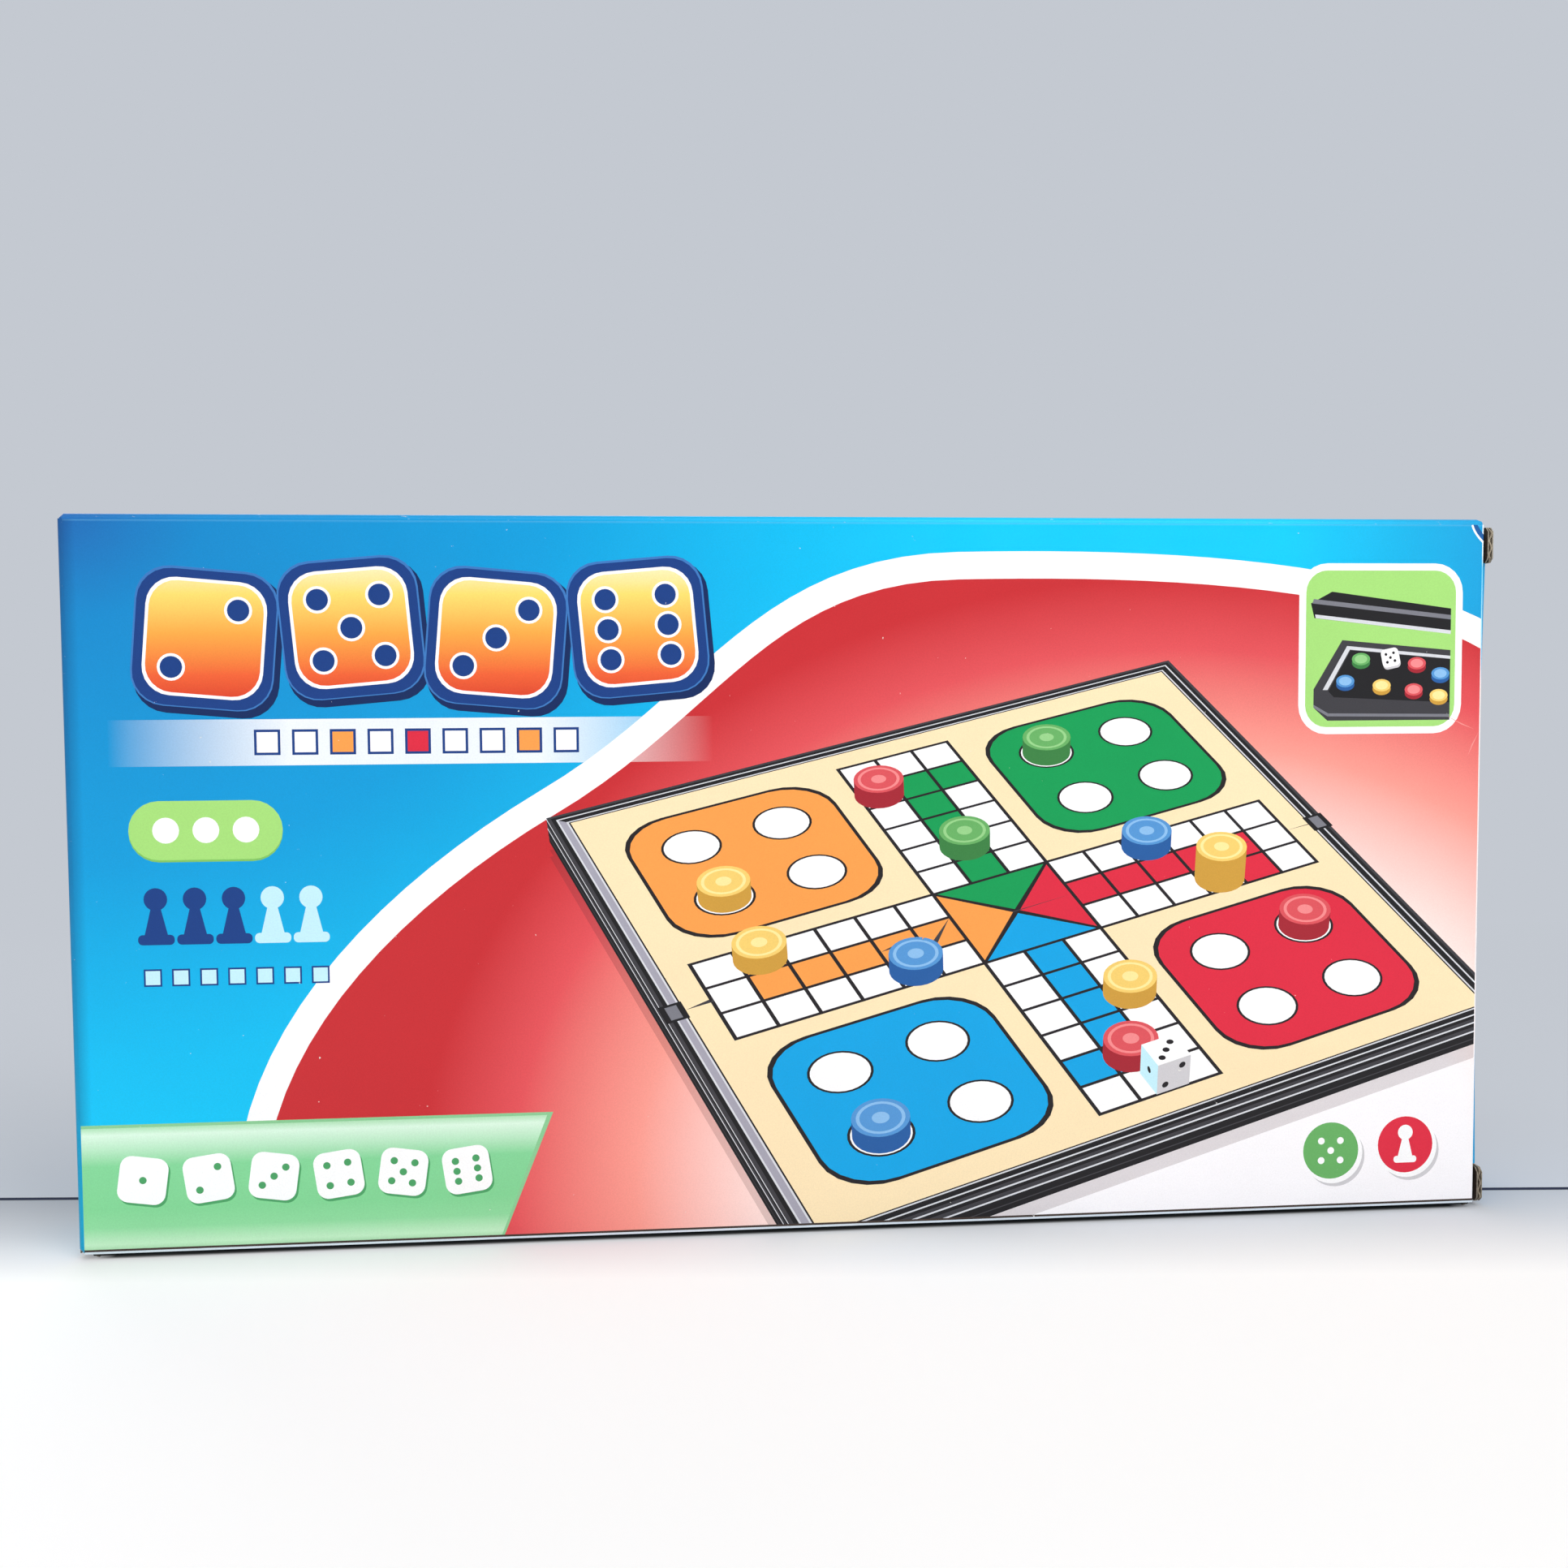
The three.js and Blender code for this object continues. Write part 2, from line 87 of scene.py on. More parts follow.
# %% [markdown]
# The camera stands where the photographer stood, a little to the left of the middle and below the
# height of the top edge. Its place was solved from six points of the front's outline. The corners
# of the front are projected here, to be held against the photograph.

# %% The camera
LENS = SENSOR = 36.0
CAMERA_PLACE = Vector((-39.47, -364.73 - FACE, 126.55)) * MM
CAMERA_PITCH, CAMERA_YAW, CAMERA_ROLL = -3.061, -5.331, -0.371
PICTURE = 1932


def put(name, data):
    made = bpy.data.objects.new(name, data)
    bpy.context.scene.collection.objects.link(made)
    return made


bpy.context.scene.view_settings.view_transform = "Standard"
camera = put("camera", bpy.data.cameras.new("camera"))
camera.data.lens = LENS
camera.data.sensor_width = SENSOR
camera.data.clip_start = 0.01
camera.location = CAMERA_PLACE
aim = Euler((math.radians(90 + CAMERA_PITCH), 0, math.radians(CAMERA_YAW))).to_matrix()
view = aim @ Euler((0, 0, math.radians(CAMERA_ROLL))).to_matrix()
camera.rotation_euler = view.to_euler("XYZ")
bpy.context.scene.camera = camera


def in_picture(point_mm):
    seen = view.transposed() @ (Vector(point_mm) * MM - CAMERA_PLACE)
    scale = PICTURE * LENS / SENSOR / -seen.z
    return round(PICTURE / 2 + seen.x * scale, 1), round(PICTURE / 2 - seen.y * scale, 1)


for x in (front_low.x, front_high.x):
    for z in (front_high.z, front_low.z):
        print("corner", round(x, 1), round(z, 1), "at", in_picture((x, -FACE, z)))

# %% [markdown]
# A finish is a tree of shader nodes. Writing each node out by hand hides what the finish does, so
# this small graph helper names the few steps that the finishes share: sums, ramps, noise, soft
# clouds between two values and the place of a point along one axis. Places come from object
# coordinates, which stay with the piece when it moves.

# %% A helper for shader nodes
def linear(colour):
    def channel(value):
        share = value / 255
        return share / 12.92 if share <= 0.04045 else ((share + 0.055) / 1.055) ** 2.4

    return (*(channel(value) for value in colour), 1.0)


class Graph:
    def __init__(self, name):
        self.material = bpy.data.materials.new(name)
        self.material.use_nodes = True
        self.tree = self.material.node_tree
        self.tree.nodes.clear()
        self.shader = self.node("ShaderNodeBsdfPrincipled")
        self.output = self.node("ShaderNodeOutputMaterial", self.shader.outputs[0])
        self.place = self.node("ShaderNodeTexCoord").outputs["Object"]

    def node(self, kind, *inputs, **settings):
        made = self.tree.nodes.new(kind)
        for key, value in settings.items():
            setattr(made, key, value)
        for index, value in enumerate(inputs):
            self.feed(made.inputs[index], value)
        return made

    def feed(self, socket, value):
        if isinstance(value, bpy.types.NodeSocket):
            self.tree.links.new(value, socket)
        else:
            socket.default_value = value

    def give(self, node, **values):
        for name, value in values.items():
            self.feed(node.inputs[name.replace("_", " ")], value)

    def math(self, operation, *values):
        return self.node("ShaderNodeMath", *values, operation=operation).outputs[0]

    def times(self, first, second):
        return self.math("MULTIPLY", first, second)

    def scaled(self, tone, factor):
        made = self.node("ShaderNodeVectorMath", tone, operation="SCALE")
        self.give(made, Scale=factor)
        return made.outputs[0]

    def spread(self, value, low, high, to_low=0.0, to_high=1.0):
        return self.node("ShaderNodeMapRange", value, low, high, to_low, to_high).outputs[0]

    def ramp(self, value, stops):
        made = self.node("ShaderNodeValToRGB", value)
        elements = made.color_ramp.elements
        while len(elements) < len(stops):
            elements.new(0.5)
        for element, (position, colour) in zip(elements, stops):
            element.position = position
            element.color = linear(colour)
        return made.outputs["Color"]

    def mix(self, factor, first, second):
        made = self.node("ShaderNodeMix", data_type="RGBA")
        for index, value in ((0, factor), (6, first), (7, second)):
            self.feed(made.inputs[index], value)
        return made.outputs[2]

    def noise(self, size_mm, detail=2.0, stretch=(1, 1, 1), roughness=0.5):
        scale = tuple(share / (size_mm * MM) for share in stretch)
        spot = self.node("ShaderNodeVectorMath", self.place, scale, operation="MULTIPLY").outputs[0]
        made = self.node("ShaderNodeTexNoise", spot)
        self.give(made, Scale=1.0, Detail=detail, Roughness=roughness)
        return made.outputs["Fac"]

    def clouds(self, size_mm, detail, low, high):
        return self.spread(self.noise(size_mm, detail), 0.3, 0.7, low, high)

    def axis(self, letter):
        parts = self.node("ShaderNodeSeparateXYZ", self.place)
        return self.times(parts.outputs["xyz".index(letter)], 1 / MM)

    def bump(self, height, depth_mm):
        made = self.node("ShaderNodeBump")
        self.give(made, Strength=1.0, Distance=depth_mm * MM, Height=height)
        self.give(self.shader, Normal=made.outputs[0])


print("graph helper ready")

# %% [markdown]
# The print is four-colour offset on white-lined board, under a satin varnish. Close up it has a
# fine grain, and the board's flutes show through as a faint washboard. The finish takes any
# colour, flat or graded, and adds these three things to it, so that all inks look printed on the
# same sheet. Handling leaves small white specks, and a crease cracks the print along its edge.

# %% The printed finish
PAPER = linear((236, 234, 228))
FLUTE_PITCH = 3.4
GRAIN_SIZE, UNEVEN_SIZE, SPECK_SIZE, CRACK_SIZE, VARNISH_SIZE = 0.35, 28.0, 1.9, 0.9, 7.0
PRINT_RELIEF = 0.012
inks = {}


def printed(name, colour, washboard="z", wear=0.0):
    graph = Graph(name)
    tone = colour(graph) if callable(colour) else linear(colour)[:3]
    grain = graph.spread(graph.noise(GRAIN_SIZE, 3.0), 0.25, 0.75, 0.955, 1.045)
    shaded = graph.scaled(tone, graph.times(grain, graph.clouds(UNEVEN_SIZE, 2.0, 0.985, 1.015)))
    specks = graph.spread(graph.noise(SPECK_SIZE, 4.0, roughness=0.7), 0.735, 0.75)
    worn = graph.mix(specks, shaded, PAPER)
    if wear:
        cracks = graph.noise(CRACK_SIZE, 5.0, (0.22, 1, 1), 0.75)
        worn = graph.mix(graph.spread(cracks, 0.72 - wear, 0.78 - wear), worn, PAPER)
    rough = graph.clouds(VARNISH_SIZE, 3.0, 0.36, 0.47)
    graph.give(graph.shader, Base_Color=worn, Roughness=rough, Specular_IOR_Level=0.2,
               Coat_Weight=0.04, Coat_Roughness=0.3)
    turn = graph.times(graph.axis(washboard), 2 * math.pi / FLUTE_PITCH)
    ridges = graph.times(graph.math("SINE", turn), 0.5)
    graph.bump(graph.math("ADD", ridges, graph.times(graph.noise(0.5, 2.0), 0.6)), PRINT_RELIEF)
    inks[name] = graph.material


print("printed finish ready")

# %% [markdown]
# Bare board shows wherever the sheet was cut: a grey-brown recycled paper with darker and paler
# fibres in it. The inner liner is a browner paper, darkened further by painted shade, so that the
# slots beside the ears look nearly black.

# %% The bare board finish
BOARD_TONES = {
    "bare_board": [(0.0, (98, 91, 80)), (0.45, (140, 132, 118)), (1.0, (182, 174, 158))],
    "flute_paper": [(0.0, (104, 94, 80)), (0.5, (142, 130, 112)), (1.0, (176, 164, 144))],
    # The inner liner is brown paper, darkened by painted shade so the slots beside the ears look black.
    "inside_brown": [(0.0, (48, 37, 28)), (0.5, (74, 59, 45)), (1.0, (104, 86, 67))],
}
FIBRE_SIZE, BOARD_RELIEF = 0.6, 0.03


def bare_board(name, tones):
    graph = Graph(name)
    fibre = graph.noise(FIBRE_SIZE, 6.0, (0.35, 1, 1), 0.7)
    mixed = graph.math("ADD", graph.times(fibre, 0.7), graph.times(graph.noise(9.0, 3.0), 0.3))
    graph.give(graph.shader, Base_Color=graph.ramp(graph.spread(mixed, 0.3, 0.7), tones), Roughness=0.88)
    graph.bump(fibre, BOARD_RELIEF)
    inks[name] = graph.material


for name, tones in BOARD_TONES.items():
    bare_board(name, tones)
print("inks so far:", sorted(inks))

# %% [markdown]
# Each shape of the print is an outline in millimetres on the face. They are laid one over another
# like cut paper. These helpers make the few outlines that the design needs: discs, boxes with
# round corners and the hull round a set of points.

# %% Outlines
CORNER_STEPS = 6


def disc(x, z, radius, steps=40):
    turn = [2 * math.pi * i / steps for i in range(steps)]
    return [(x + radius * math.cos(a), z + radius * math.sin(a)) for a in turn]


def placed(points, x, z, turn):
    c, s = math.cos(math.radians(turn)), math.sin(math.radians(turn))
    return [(x + px * c - pz * s, z + px * s + pz * c) for px, pz in points]


def rounded_box(x, z, width, height, radius, turn=0.0):
    points = []
    for corner in range(4):
        across = (width / 2 - radius) * (1 if corner in (0, 3) else -1)
        up = (height / 2 - radius) * (1 if corner in (0, 1) else -1)
        for i in range(CORNER_STEPS + 1):
            angle = math.pi / 2 * (corner + i / CORNER_STEPS)
            points.append((across + radius * math.cos(angle), up + radius * math.sin(angle)))
    return placed(points, x, z, turn)


def box_outline(x0, z0, x1, z1):
    return [(x0, z0), (x1, z0), (x1, z1), (x0, z1)]


def area(points):
    pairs = zip(points, points[1:] + points[:1])
    return sum(a[0] * b[1] - b[0] * a[1] for a, b in pairs) / 2


def hull(points):
    ordered = sorted(set(points))
    halves = []
    for run in (ordered, ordered[::-1]):
        side = []
        for p in run:
            while len(side) > 1 and area([side[-2], side[-1], p]) <= 0:
                side.pop()
            side.append(p)
        halves += side[:-1]
    return halves


print("a disc has", len(disc(0, 0, 1)), "points")

# %% [markdown]
# Corrugated board is two flat liners with a wavy sheet between them. The print sits on the outer
# liner. Laying the shapes of the print as loose sheets over the face would leave many thin films
# in the model, so the outlines are cut into the liner's own face instead: one triangulation takes
# them all, and each triangle takes the ink of the topmost shape that its middle lies in.

# %% Cutting the print into a face
def is_inside(point, ring):
    x, y = point
    inside = False
    for (x0, y0), (x1, y1) in zip(ring, ring[1:] + ring[:1]):
        if (y0 > y) != (y1 > y) and x < x0 + (x1 - x0) * (y - y0) / (y1 - y0):
            inside = not inside
    return inside


def extent(ring):
    return tuple(f(p[k] for p in ring) for k in (0, 1) for f in (min, max))


def topmost(x, y, shapes, extents):
    for owner in range(len(shapes) - 1, 0, -1):
        low_x, high_x, low_y, high_y = extents[owner]
        if low_x <= x <= high_x and low_y <= y <= high_y and is_inside((x, y), shapes[owner]):
            return owner
    return 0


def inlay(outline, layers):
    shapes = [outline] + [shape for shape, _ in layers]
    points, rings = [], []
    for ring in shapes:
        rings.append(list(range(len(points), len(points) + len(ring))))
        points += [Vector(p) for p in ring]
    made, _, triangles, *_ = delaunay_2d_cdt(points, [], rings, 0, 1e-5)
    extents = [extent(ring) for ring in shapes]
    kept = []
    for tri in triangles:
        middle = tuple(sum((made[i] for i in tri), Vector((0, 0))) / len(tri))
        if is_inside(middle, outline):
            kept.append((tri, topmost(*middle, shapes, extents)))
    used = sorted({i for tri, _ in kept for i in tri})
    renumbered = {old: new for new, old in enumerate(used)}
    return [tuple(made[i]) for i in used], [([renumbered[i] for i in tri], top) for tri, top in kept]


class Pile:
    """Points of one piece, and its faces, each with its corners, its ink and whether it is smooth."""

    def __init__(self):
        self.points, self.faces = [], []

    def add(self, points, faces):
        start = len(self.points)
        self.points += points
        self.faces += [([start + i for i in corners], ink, smooth) for corners, ink, smooth in faces]

    def mesh(self, name):
        mesh = bpy.data.meshes.new(name)
        mesh.from_pydata(self.points, [], [corners for corners, _, _ in self.faces])
        names = sorted({ink for _, ink, _ in self.faces})
        for ink in names:
            mesh.materials.append(inks[ink])
        for polygon, (_, ink, smooth) in zip(mesh.polygons, self.faces):
            polygon.material_index = names.index(ink)
            polygon.use_smooth = smooth
        mesh.validate()
        mesh.update()
        return put(name, mesh)


def slab(pile, place, outline, layers, ground, top, bottom, under="bare_board"):
    points, kept = inlay(outline, layers)
    count = len(points)
    corner = place(0, 0, 0)
    flip = (place(1, 0, 0) - corner).cross(place(0, 1, 0) - corner)
    outward = flip.dot(corner - place(0, 0, 1)) > 0
    faces, edges = [], []
    for tri, owner in kept:
        face = tri if outward else tri[::-1]
        faces.append((face, layers[owner - 1][1] if owner else ground, False))
        faces.append(([count + i for i in face[::-1]], under, False))
        edges += zip(face, face[1:] + face[:1])
    shared = set(edges)
    faces += [([b, a, count + a, count + b], "bare_board", False) for a, b in edges if (b, a) not in shared]
    pile.add([place(u, v, depth) for depth in (top, bottom) for u, v in points], faces)


print("slab helper ready")

# %% [markdown]
# The wavy sheet runs with its waves along the carton, so the flutes are open at every edge that
# is cut across them: the ears of the end flaps, and the cut ends of the panels. The cutting die
# crushes them there, so the sheet is drawn thicker than its paper. It is one closed sheet, whose
# ends follow the outline of the piece.

# %% The fluted sheet
LINER = 0.26
MEDIUM = 0.34
FLUTE_STEPS = 10
NEAR_CORNER = 0.01


def span(outline, u):
    found = []
    for (u0, v0), (u1, v1) in zip(outline, outline[1:] + outline[:1]):
        if min(u0, u1) <= u <= max(u0, u1) and u0 != u1:
            found.append(v0 + (v1 - v0) * (u - u0) / (u1 - u0))
    return (min(found), max(found)) if found else None


def fluting(pile, place, outline):
    low, high = min(p[0] for p in outline), max(p[0] for p in outline)
    stops = {low + NEAR_CORNER, high - NEAR_CORNER}
    for u, _ in outline:
        stops |= {s for s in (u - NEAR_CORNER, u + NEAR_CORNER) if low < s < high}
    steps = int((high - low) / FLUTE_PITCH * FLUTE_STEPS)
    stops |= {low + (high - low) * (i + 0.5) / steps for i in range(steps)}
    swing = (BOARD - 2 * LINER - MEDIUM) / 2
    points = []
    for u in sorted(stops):
        ends = span(outline, u)
        if ends:
            depth = BOARD / 2 + swing * math.sin(2 * math.pi * u / FLUTE_PITCH)
            points += [place(u, v, depth + side * MEDIUM / 2) for side in (-1, 1) for v in ends]
    last = len(points) - 4
    faces = [[0, 1, 3, 2]]
    for a in range(0, last, 4):
        b = a + 4
        faces += [[a, b, b + 1, a + 1], [a + 2, a + 3, b + 3, b + 2]]
        faces += [[a, a + 2, b + 2, b], [a + 1, b + 1, b + 3, a + 3]]
    faces.append([last, last + 2, last + 3, last + 1])
    pile.add(points, [(face, "flute_paper", False) for face in faces])


print("flutes", FLUTE_PITCH, "mm apart")

# %% [markdown]
# A piece of board is then the outer liner with its print, the fluted sheet and the inner liner, in
# one mesh. It takes the place of the plain solid of the same name and moves with its body. The
# inner liner can have an outline of its own, for a crease that folds further in and crushes it.

# %% A piece of board
def plane(normal, level, u, v, turn=1):
    outwards = 1 if normal[0] == "+" else -1

    def place(pu, pv, depth=0.0):
        point = {u: pu, v: pv, normal[1]: level - outwards * depth}
        return Vector((turn * point["x"], turn * point["y"], point["z"])) * MM

    return place


def board_piece(node, body, place, outline, ground, layers=(), inside=None):
    pile = Pile()
    slab(pile, place, outline, layers, ground, 0.0, LINER)
    fluting(pile, place, outline)
    slab(pile, place, inside or outline, [], "bare_board", BOARD - LINER, BOARD, "inside_brown")
    made = pile.mesh(node + "_board")
    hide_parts(node)
    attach(made, body)


print("inner liner from", round(BOARD - LINER, 2), "to", round(BOARD, 2), "mm behind the face")

# %% [markdown]
# Where the sheet is creased it bends in a small round, with the print stretched over it. A fixed
# crease is a solid quarter round that fills the mitre. A crease that opens is only the outer
# liner, bent.

# %% A crease
CREASE_STEPS = 8
FIXED_INSIDE = 0.25
SHARP_EDGE = math.radians(35)
AXES = {"x": Vector((1, 0, 0)), "y": Vector((0, 1, 0)), "z": Vector((0, 0, 1))}


def direction(word):
    return AXES[word[1]] * (1 if word[0] == "+" else -1)


def crease_mesh(name, corner, first, second, along, sections, ink, inner, turn=1, bend=None):
    n1, n2 = direction(first), direction(second)
    centre = Vector(corner) - BOARD * (n1 + n2)
    ring = CREASE_STEPS + 1
    points = []
    for place, share in sections:
        base = centre + AXES[along] * place
        for radius in (BOARD, inner):
            for i in range(ring):
                angle = math.pi / 2 * i / CREASE_STEPS
                point = base + radius * share * (n1 * math.cos(angle) + n2 * math.sin(angle))
                point = point * Vector((turn, turn, 1)) * MM
                points.append(bend(point) if bend else point)
    last = 2 * ring * (len(sections) - 1)
    outer, others = [], []
    for a in range(0, last, 2 * ring):
        b = a + 2 * ring
        for i in range(CREASE_STEPS):
            outer.append([a + i, a + i + 1, b + i + 1, b + i])
            others.append([a + ring + i, b + ring + i, b + ring + i + 1, a + ring + i + 1])
        others += [[a + i, b + i, b + ring + i, a + ring + i] for i in (0, CREASE_STEPS)]
    for a in (0, last):
        others += [[a + i, a + ring + i, a + ring + i + 1, a + i + 1] for i in range(CREASE_STEPS)]
    pile = Pile()
    pile.add(points, [(face, ink, True) for face in outer] + [(face, "bare_board", False) for face in others])
    made = pile.mesh(name)
    face_outwards(made)
    return made


def face_outwards(made):
    work = bmesh.new()
    work.from_mesh(made.data)
    bmesh.ops.recalc_face_normals(work, faces=work.faces)
    work.to_mesh(made.data)
    work.free()
    made.data.set_sharp_from_angle(angle=SHARP_EDGE)


def fixed_crease(name, corner, first, second, sections, ink):
    made = crease_mesh(name, corner, first, second, "x", sections, ink, FIXED_INSIDE)
    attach(made, "carton")


def moving_crease(name, corner, first, second, along, sections, ink, turn, bend=None):
    made = crease_mesh(name, corner, first, second, along, sections, ink, BOARD - LINER, turn, bend)
    flip = Vector((turn, turn, 1))
    end = (Vector(corner) - BOARD * direction(first)) * flip * MM
    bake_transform(made)


print("crease radius", round(BOARD, 2))

# %% [markdown]
# The ground of the print runs from deep blue at the upper left corner to cyan, all over the
# outside. A red field with a white border covers the right of the front. It pales towards the
# place where the board lies on it. Both are graded inks. A soft pale band crosses them below the
# row of big die faces, which only the front's own inks carry. Where the front bends round its left
# edge, painted shade darkens it, and the fold beside it, as if turned away from the light. Along
# the top, where it rolls back a little towards the crease, a painted highlight lightens it.

# %% The ground inks
BLUES = [(0.0, (26, 102, 176)), (0.15, (10, 136, 202)), (0.5, (2, 156, 217)), (0.78, (0, 188, 239)),
         (1.0, (0, 201, 247))]
REDS = [(0.4, (252, 250, 253)), (0.51, (254, 228, 222)), (0.68, (248, 156, 144)),
        (0.83, (226, 82, 88)), (0.94, (200, 44, 50))]
BLUE_REACH, BLUE_SQUASH = 214, 1.35
FAR_BLUE, FAR_START = (22, 142, 206), 115
RED_CENTRE, RED_REACH, RED_SQUASH = (88, 12), 190, 1.25
BAND, BAND_RISE, BAND_FALL = (112.5, 123.0), (-158, -118), (-22, -62)
FOLD_SHADE_TONE, EDGE_SHADE = (8, 56, 112), 2.6
TOP_ROLL, ROLL_SOFT, ROLL_HIGHLIGHT_TONE = 1.9, 0.4, (112, 186, 228)


def reach_from(graph, centre, squash):
    across = graph.math("SUBTRACT", graph.axis("x"), centre[0])
    up = graph.times(graph.math("SUBTRACT", graph.axis("z"), centre[1]), squash)
    return graph.math("SQRT", graph.math("ADD", graph.times(across, across), graph.times(up, up)))


def blue_tone(graph):
    reach = reach_from(graph, (front_low.x, CARTON_TOP), BLUE_SQUASH)
    near = graph.ramp(graph.math("DIVIDE", reach, BLUE_REACH), BLUES)
    far_end = graph.times(graph.spread(graph.axis("x"), FAR_START, PANEL_END), 0.75)
    return graph.mix(far_end, near, linear(FAR_BLUE))


def red_tone(graph):
    return graph.ramp(graph.math("DIVIDE", reach_from(graph, RED_CENTRE, RED_SQUASH), RED_REACH), REDS)


def pale_band(graph, tone):
    x, z = graph.axis("x"), graph.axis("z")
    inside = graph.times(graph.math("GREATER_THAN", z, BAND[0]), graph.math("LESS_THAN", z, BAND[1]))
    ends = graph.math("MINIMUM", graph.spread(x, *BAND_RISE), graph.spread(x, *BAND_FALL))
    return graph.mix(graph.times(graph.times(inside, ends), 0.85), tone, linear((255, 255, 255)))


# Painted shade darkens the blue towards the left edge, and a painted highlight lightens it along the top.
def edge_shade_and_highlight(graph):
    roll_start, turn_start = CARTON_TOP - TOP_ROLL, -FLAP_FACE + BOARD
    highlight_share = graph.spread(graph.axis("z"), roll_start, roll_start + ROLL_SOFT, 0.0, 0.3)
    highlighted = graph.mix(highlight_share, blue_tone(graph), linear(ROLL_HIGHLIGHT_TONE))
    shade_share = graph.spread(graph.axis("x"), turn_start, turn_start + EDGE_SHADE, 0.4, 0.0)
    return graph.mix(shade_share, highlighted, linear(FOLD_SHADE_TONE))


printed("front_blue", lambda g: pale_band(g, edge_shade_and_highlight(g)))
# The end folds are the blue darkened with painted shade.
printed("end_fold", lambda g: g.mix(0.45, blue_tone(g), linear(FOLD_SHADE_TONE)), wear=0.05)
printed("front_red", lambda g: pale_band(g, red_tone(g)))
printed("front_shade", lambda g: g.mix(0.3, red_tone(g), linear((96, 40, 48))))
printed("plain_blue", blue_tone)
printed("side_blue", blue_tone, washboard="y")
printed("crease_blue", blue_tone, wear=0.07)
print("ground inks:", sorted(inks))

# %% [markdown]
# The other inks are flat. The game has four colours, each in a flat tone for the board, and in a
# dark, a middle and a light tone for the counters that are drawn on it. Three more inks are graded
# upwards: the yellow of the big die faces, the mint of the band and the paper along the cut edge.

# %% The flat inks and the upward grades
COLOURS = ("green", "orange", "blue", "red")
FLAT_INKS = {
    "white": (252, 252, 253), "paper_edge": (214, 226, 236), "navy": (22, 62, 132),
    "ink_black": (34, 30, 34), "pale_cyan": (196, 238, 250), "rim_blue": (60, 120, 190),
    "shadow_navy": (12, 40, 92), "fold_blue": (26, 92, 160),
    "green": (10, 156, 84), "orange": (249, 160, 78), "blue": (4, 164, 228), "red": (222, 42, 66),
    "green_dark": (58, 128, 66), "green_mid": (104, 176, 100), "green_light": (150, 208, 138),
    "orange_dark": (206, 156, 62), "orange_mid": (246, 208, 112), "orange_light": (255, 232, 158),
    "blue_dark": (36, 92, 160), "blue_mid": (84, 150, 212), "blue_light": (140, 190, 234),
    "red_dark": (164, 36, 50), "red_mid": (222, 84, 92), "red_light": (242, 140, 142),
    "board_cream": (252, 229, 186), "case_black": (28, 27, 30), "case_grey": (62, 61, 66),
    "case_line": (124, 125, 134), "case_light": (216, 218, 224), "case_sheen": (166, 164, 178),
    "soft_grey": (206, 204, 208), "leaf": (166, 222, 122), "leaf_dark": (128, 196, 96),
    "mint_edge": (138, 202, 148), "mint_deep": (74, 160, 100), "cut_brown": (66, 54, 48),
    "foot_dark": (30, 40, 40), "scuff_pink": (240, 150, 146),
}
for name, colour in FLAT_INKS.items():
    printed(name, colour)

SUNSET = [(0.0, (214, 58, 38)), (0.2, (238, 98, 52)), (0.5, (250, 168, 70)),
          (0.78, (255, 220, 110)), (1.0, (255, 240, 190))]
MINT_TONES = [(0.0, (150, 206, 156)), (0.07, (194, 236, 198)), (0.2, (142, 216, 158)),
              (0.35, (130, 211, 149)), (0.68, (132, 213, 153)), (0.92, (218, 246, 225)),
              (1.0, (150, 214, 160))]
CUT_EDGE = [(0.0, (244, 244, 248)), (0.76, (255, 238, 236)), (0.84, (168, 226, 250)),
            (0.93, (116, 208, 250)), (0.95, (232, 246, 255)), (1.0, (232, 246, 255))]
FACE_SIZE, FACE_PITCH, FACE_FIRST, FACE_HEIGHT, FACE_TILT = 31.5, 32.4, -136.2, 142.4, 5.0
MINT_HIGH = 31.0


def up_ramp(low, high, tones):
    return lambda graph: graph.ramp(graph.spread(graph.axis("z"), low, high), tones)


printed("sunset", up_ramp(FACE_HEIGHT - FACE_SIZE / 2, FACE_HEIGHT + FACE_SIZE / 2, SUNSET))
printed("mint", up_ramp(FRONT_FOOT, MINT_HIGH, MINT_TONES))
printed("cut_edge", up_ramp(0, CARTON_TOP, CUT_EDGE))
print("inks:", len(inks))

# %% [markdown]
# A sheet of print is a list of shapes, laid from the bottom up. These are the motifs that the
# sides of the carton share, all of them plain signs of the game: a die face, a pawn and a row of
# cells. Each function gives the shapes of one motif, and a sheet is the sum of its motifs.

# %% Motifs of the game
PIPS = {1: [(0, 0)], 2: [(-1, -1), (1, 1)], 3: [(-1, -1), (0, 0), (1, 1)],
        4: [(-1, -1), (1, -1), (-1, 1), (1, 1)], 5: [(-1, -1), (1, -1), (0, 0), (-1, 1), (1, 1)],
        6: [(-1, -1), (1, -1), (-1, 0), (1, 0), (-1, 1), (1, 1)]}
FACE_ROUND, PIP_REACH, PIP_SIZE, PIP_RING = 0.24, 0.22, 0.078, 0.098
PAWN_BODY = [(-0.2, 0.16), (0.2, 0.16), (0.09, 0.62), (-0.09, 0.62)]
FACE_LAYERS = [((0.9, -1.3), 1.02, "shadow_navy"), ((0, 0), 1.0, "rim_blue"),
               ((0, -0.15), 0.975, "navy"), ((0, 0), 0.845, "white"), ((0, 0), 0.8, "sunset")]


def die_face(x, z, size, tilt, pips, fills, pip_ink, ring_ink=None):
    made = []
    for (right, up), share, ink in fills:
        side = size * share
        made.append((rounded_box(x + right, z + up, side, side, side * FACE_ROUND, tilt), ink))
    spots = [(across * size * PIP_REACH, up * size * PIP_REACH) for across, up in PIPS[pips]]
    for spot in placed(spots, x, z, tilt):
        if ring_ink:
            made.append((disc(*spot, size * PIP_RING, 24), ring_ink))
        made.append((disc(*spot, size * PIP_SIZE, 24), pip_ink))
    return made


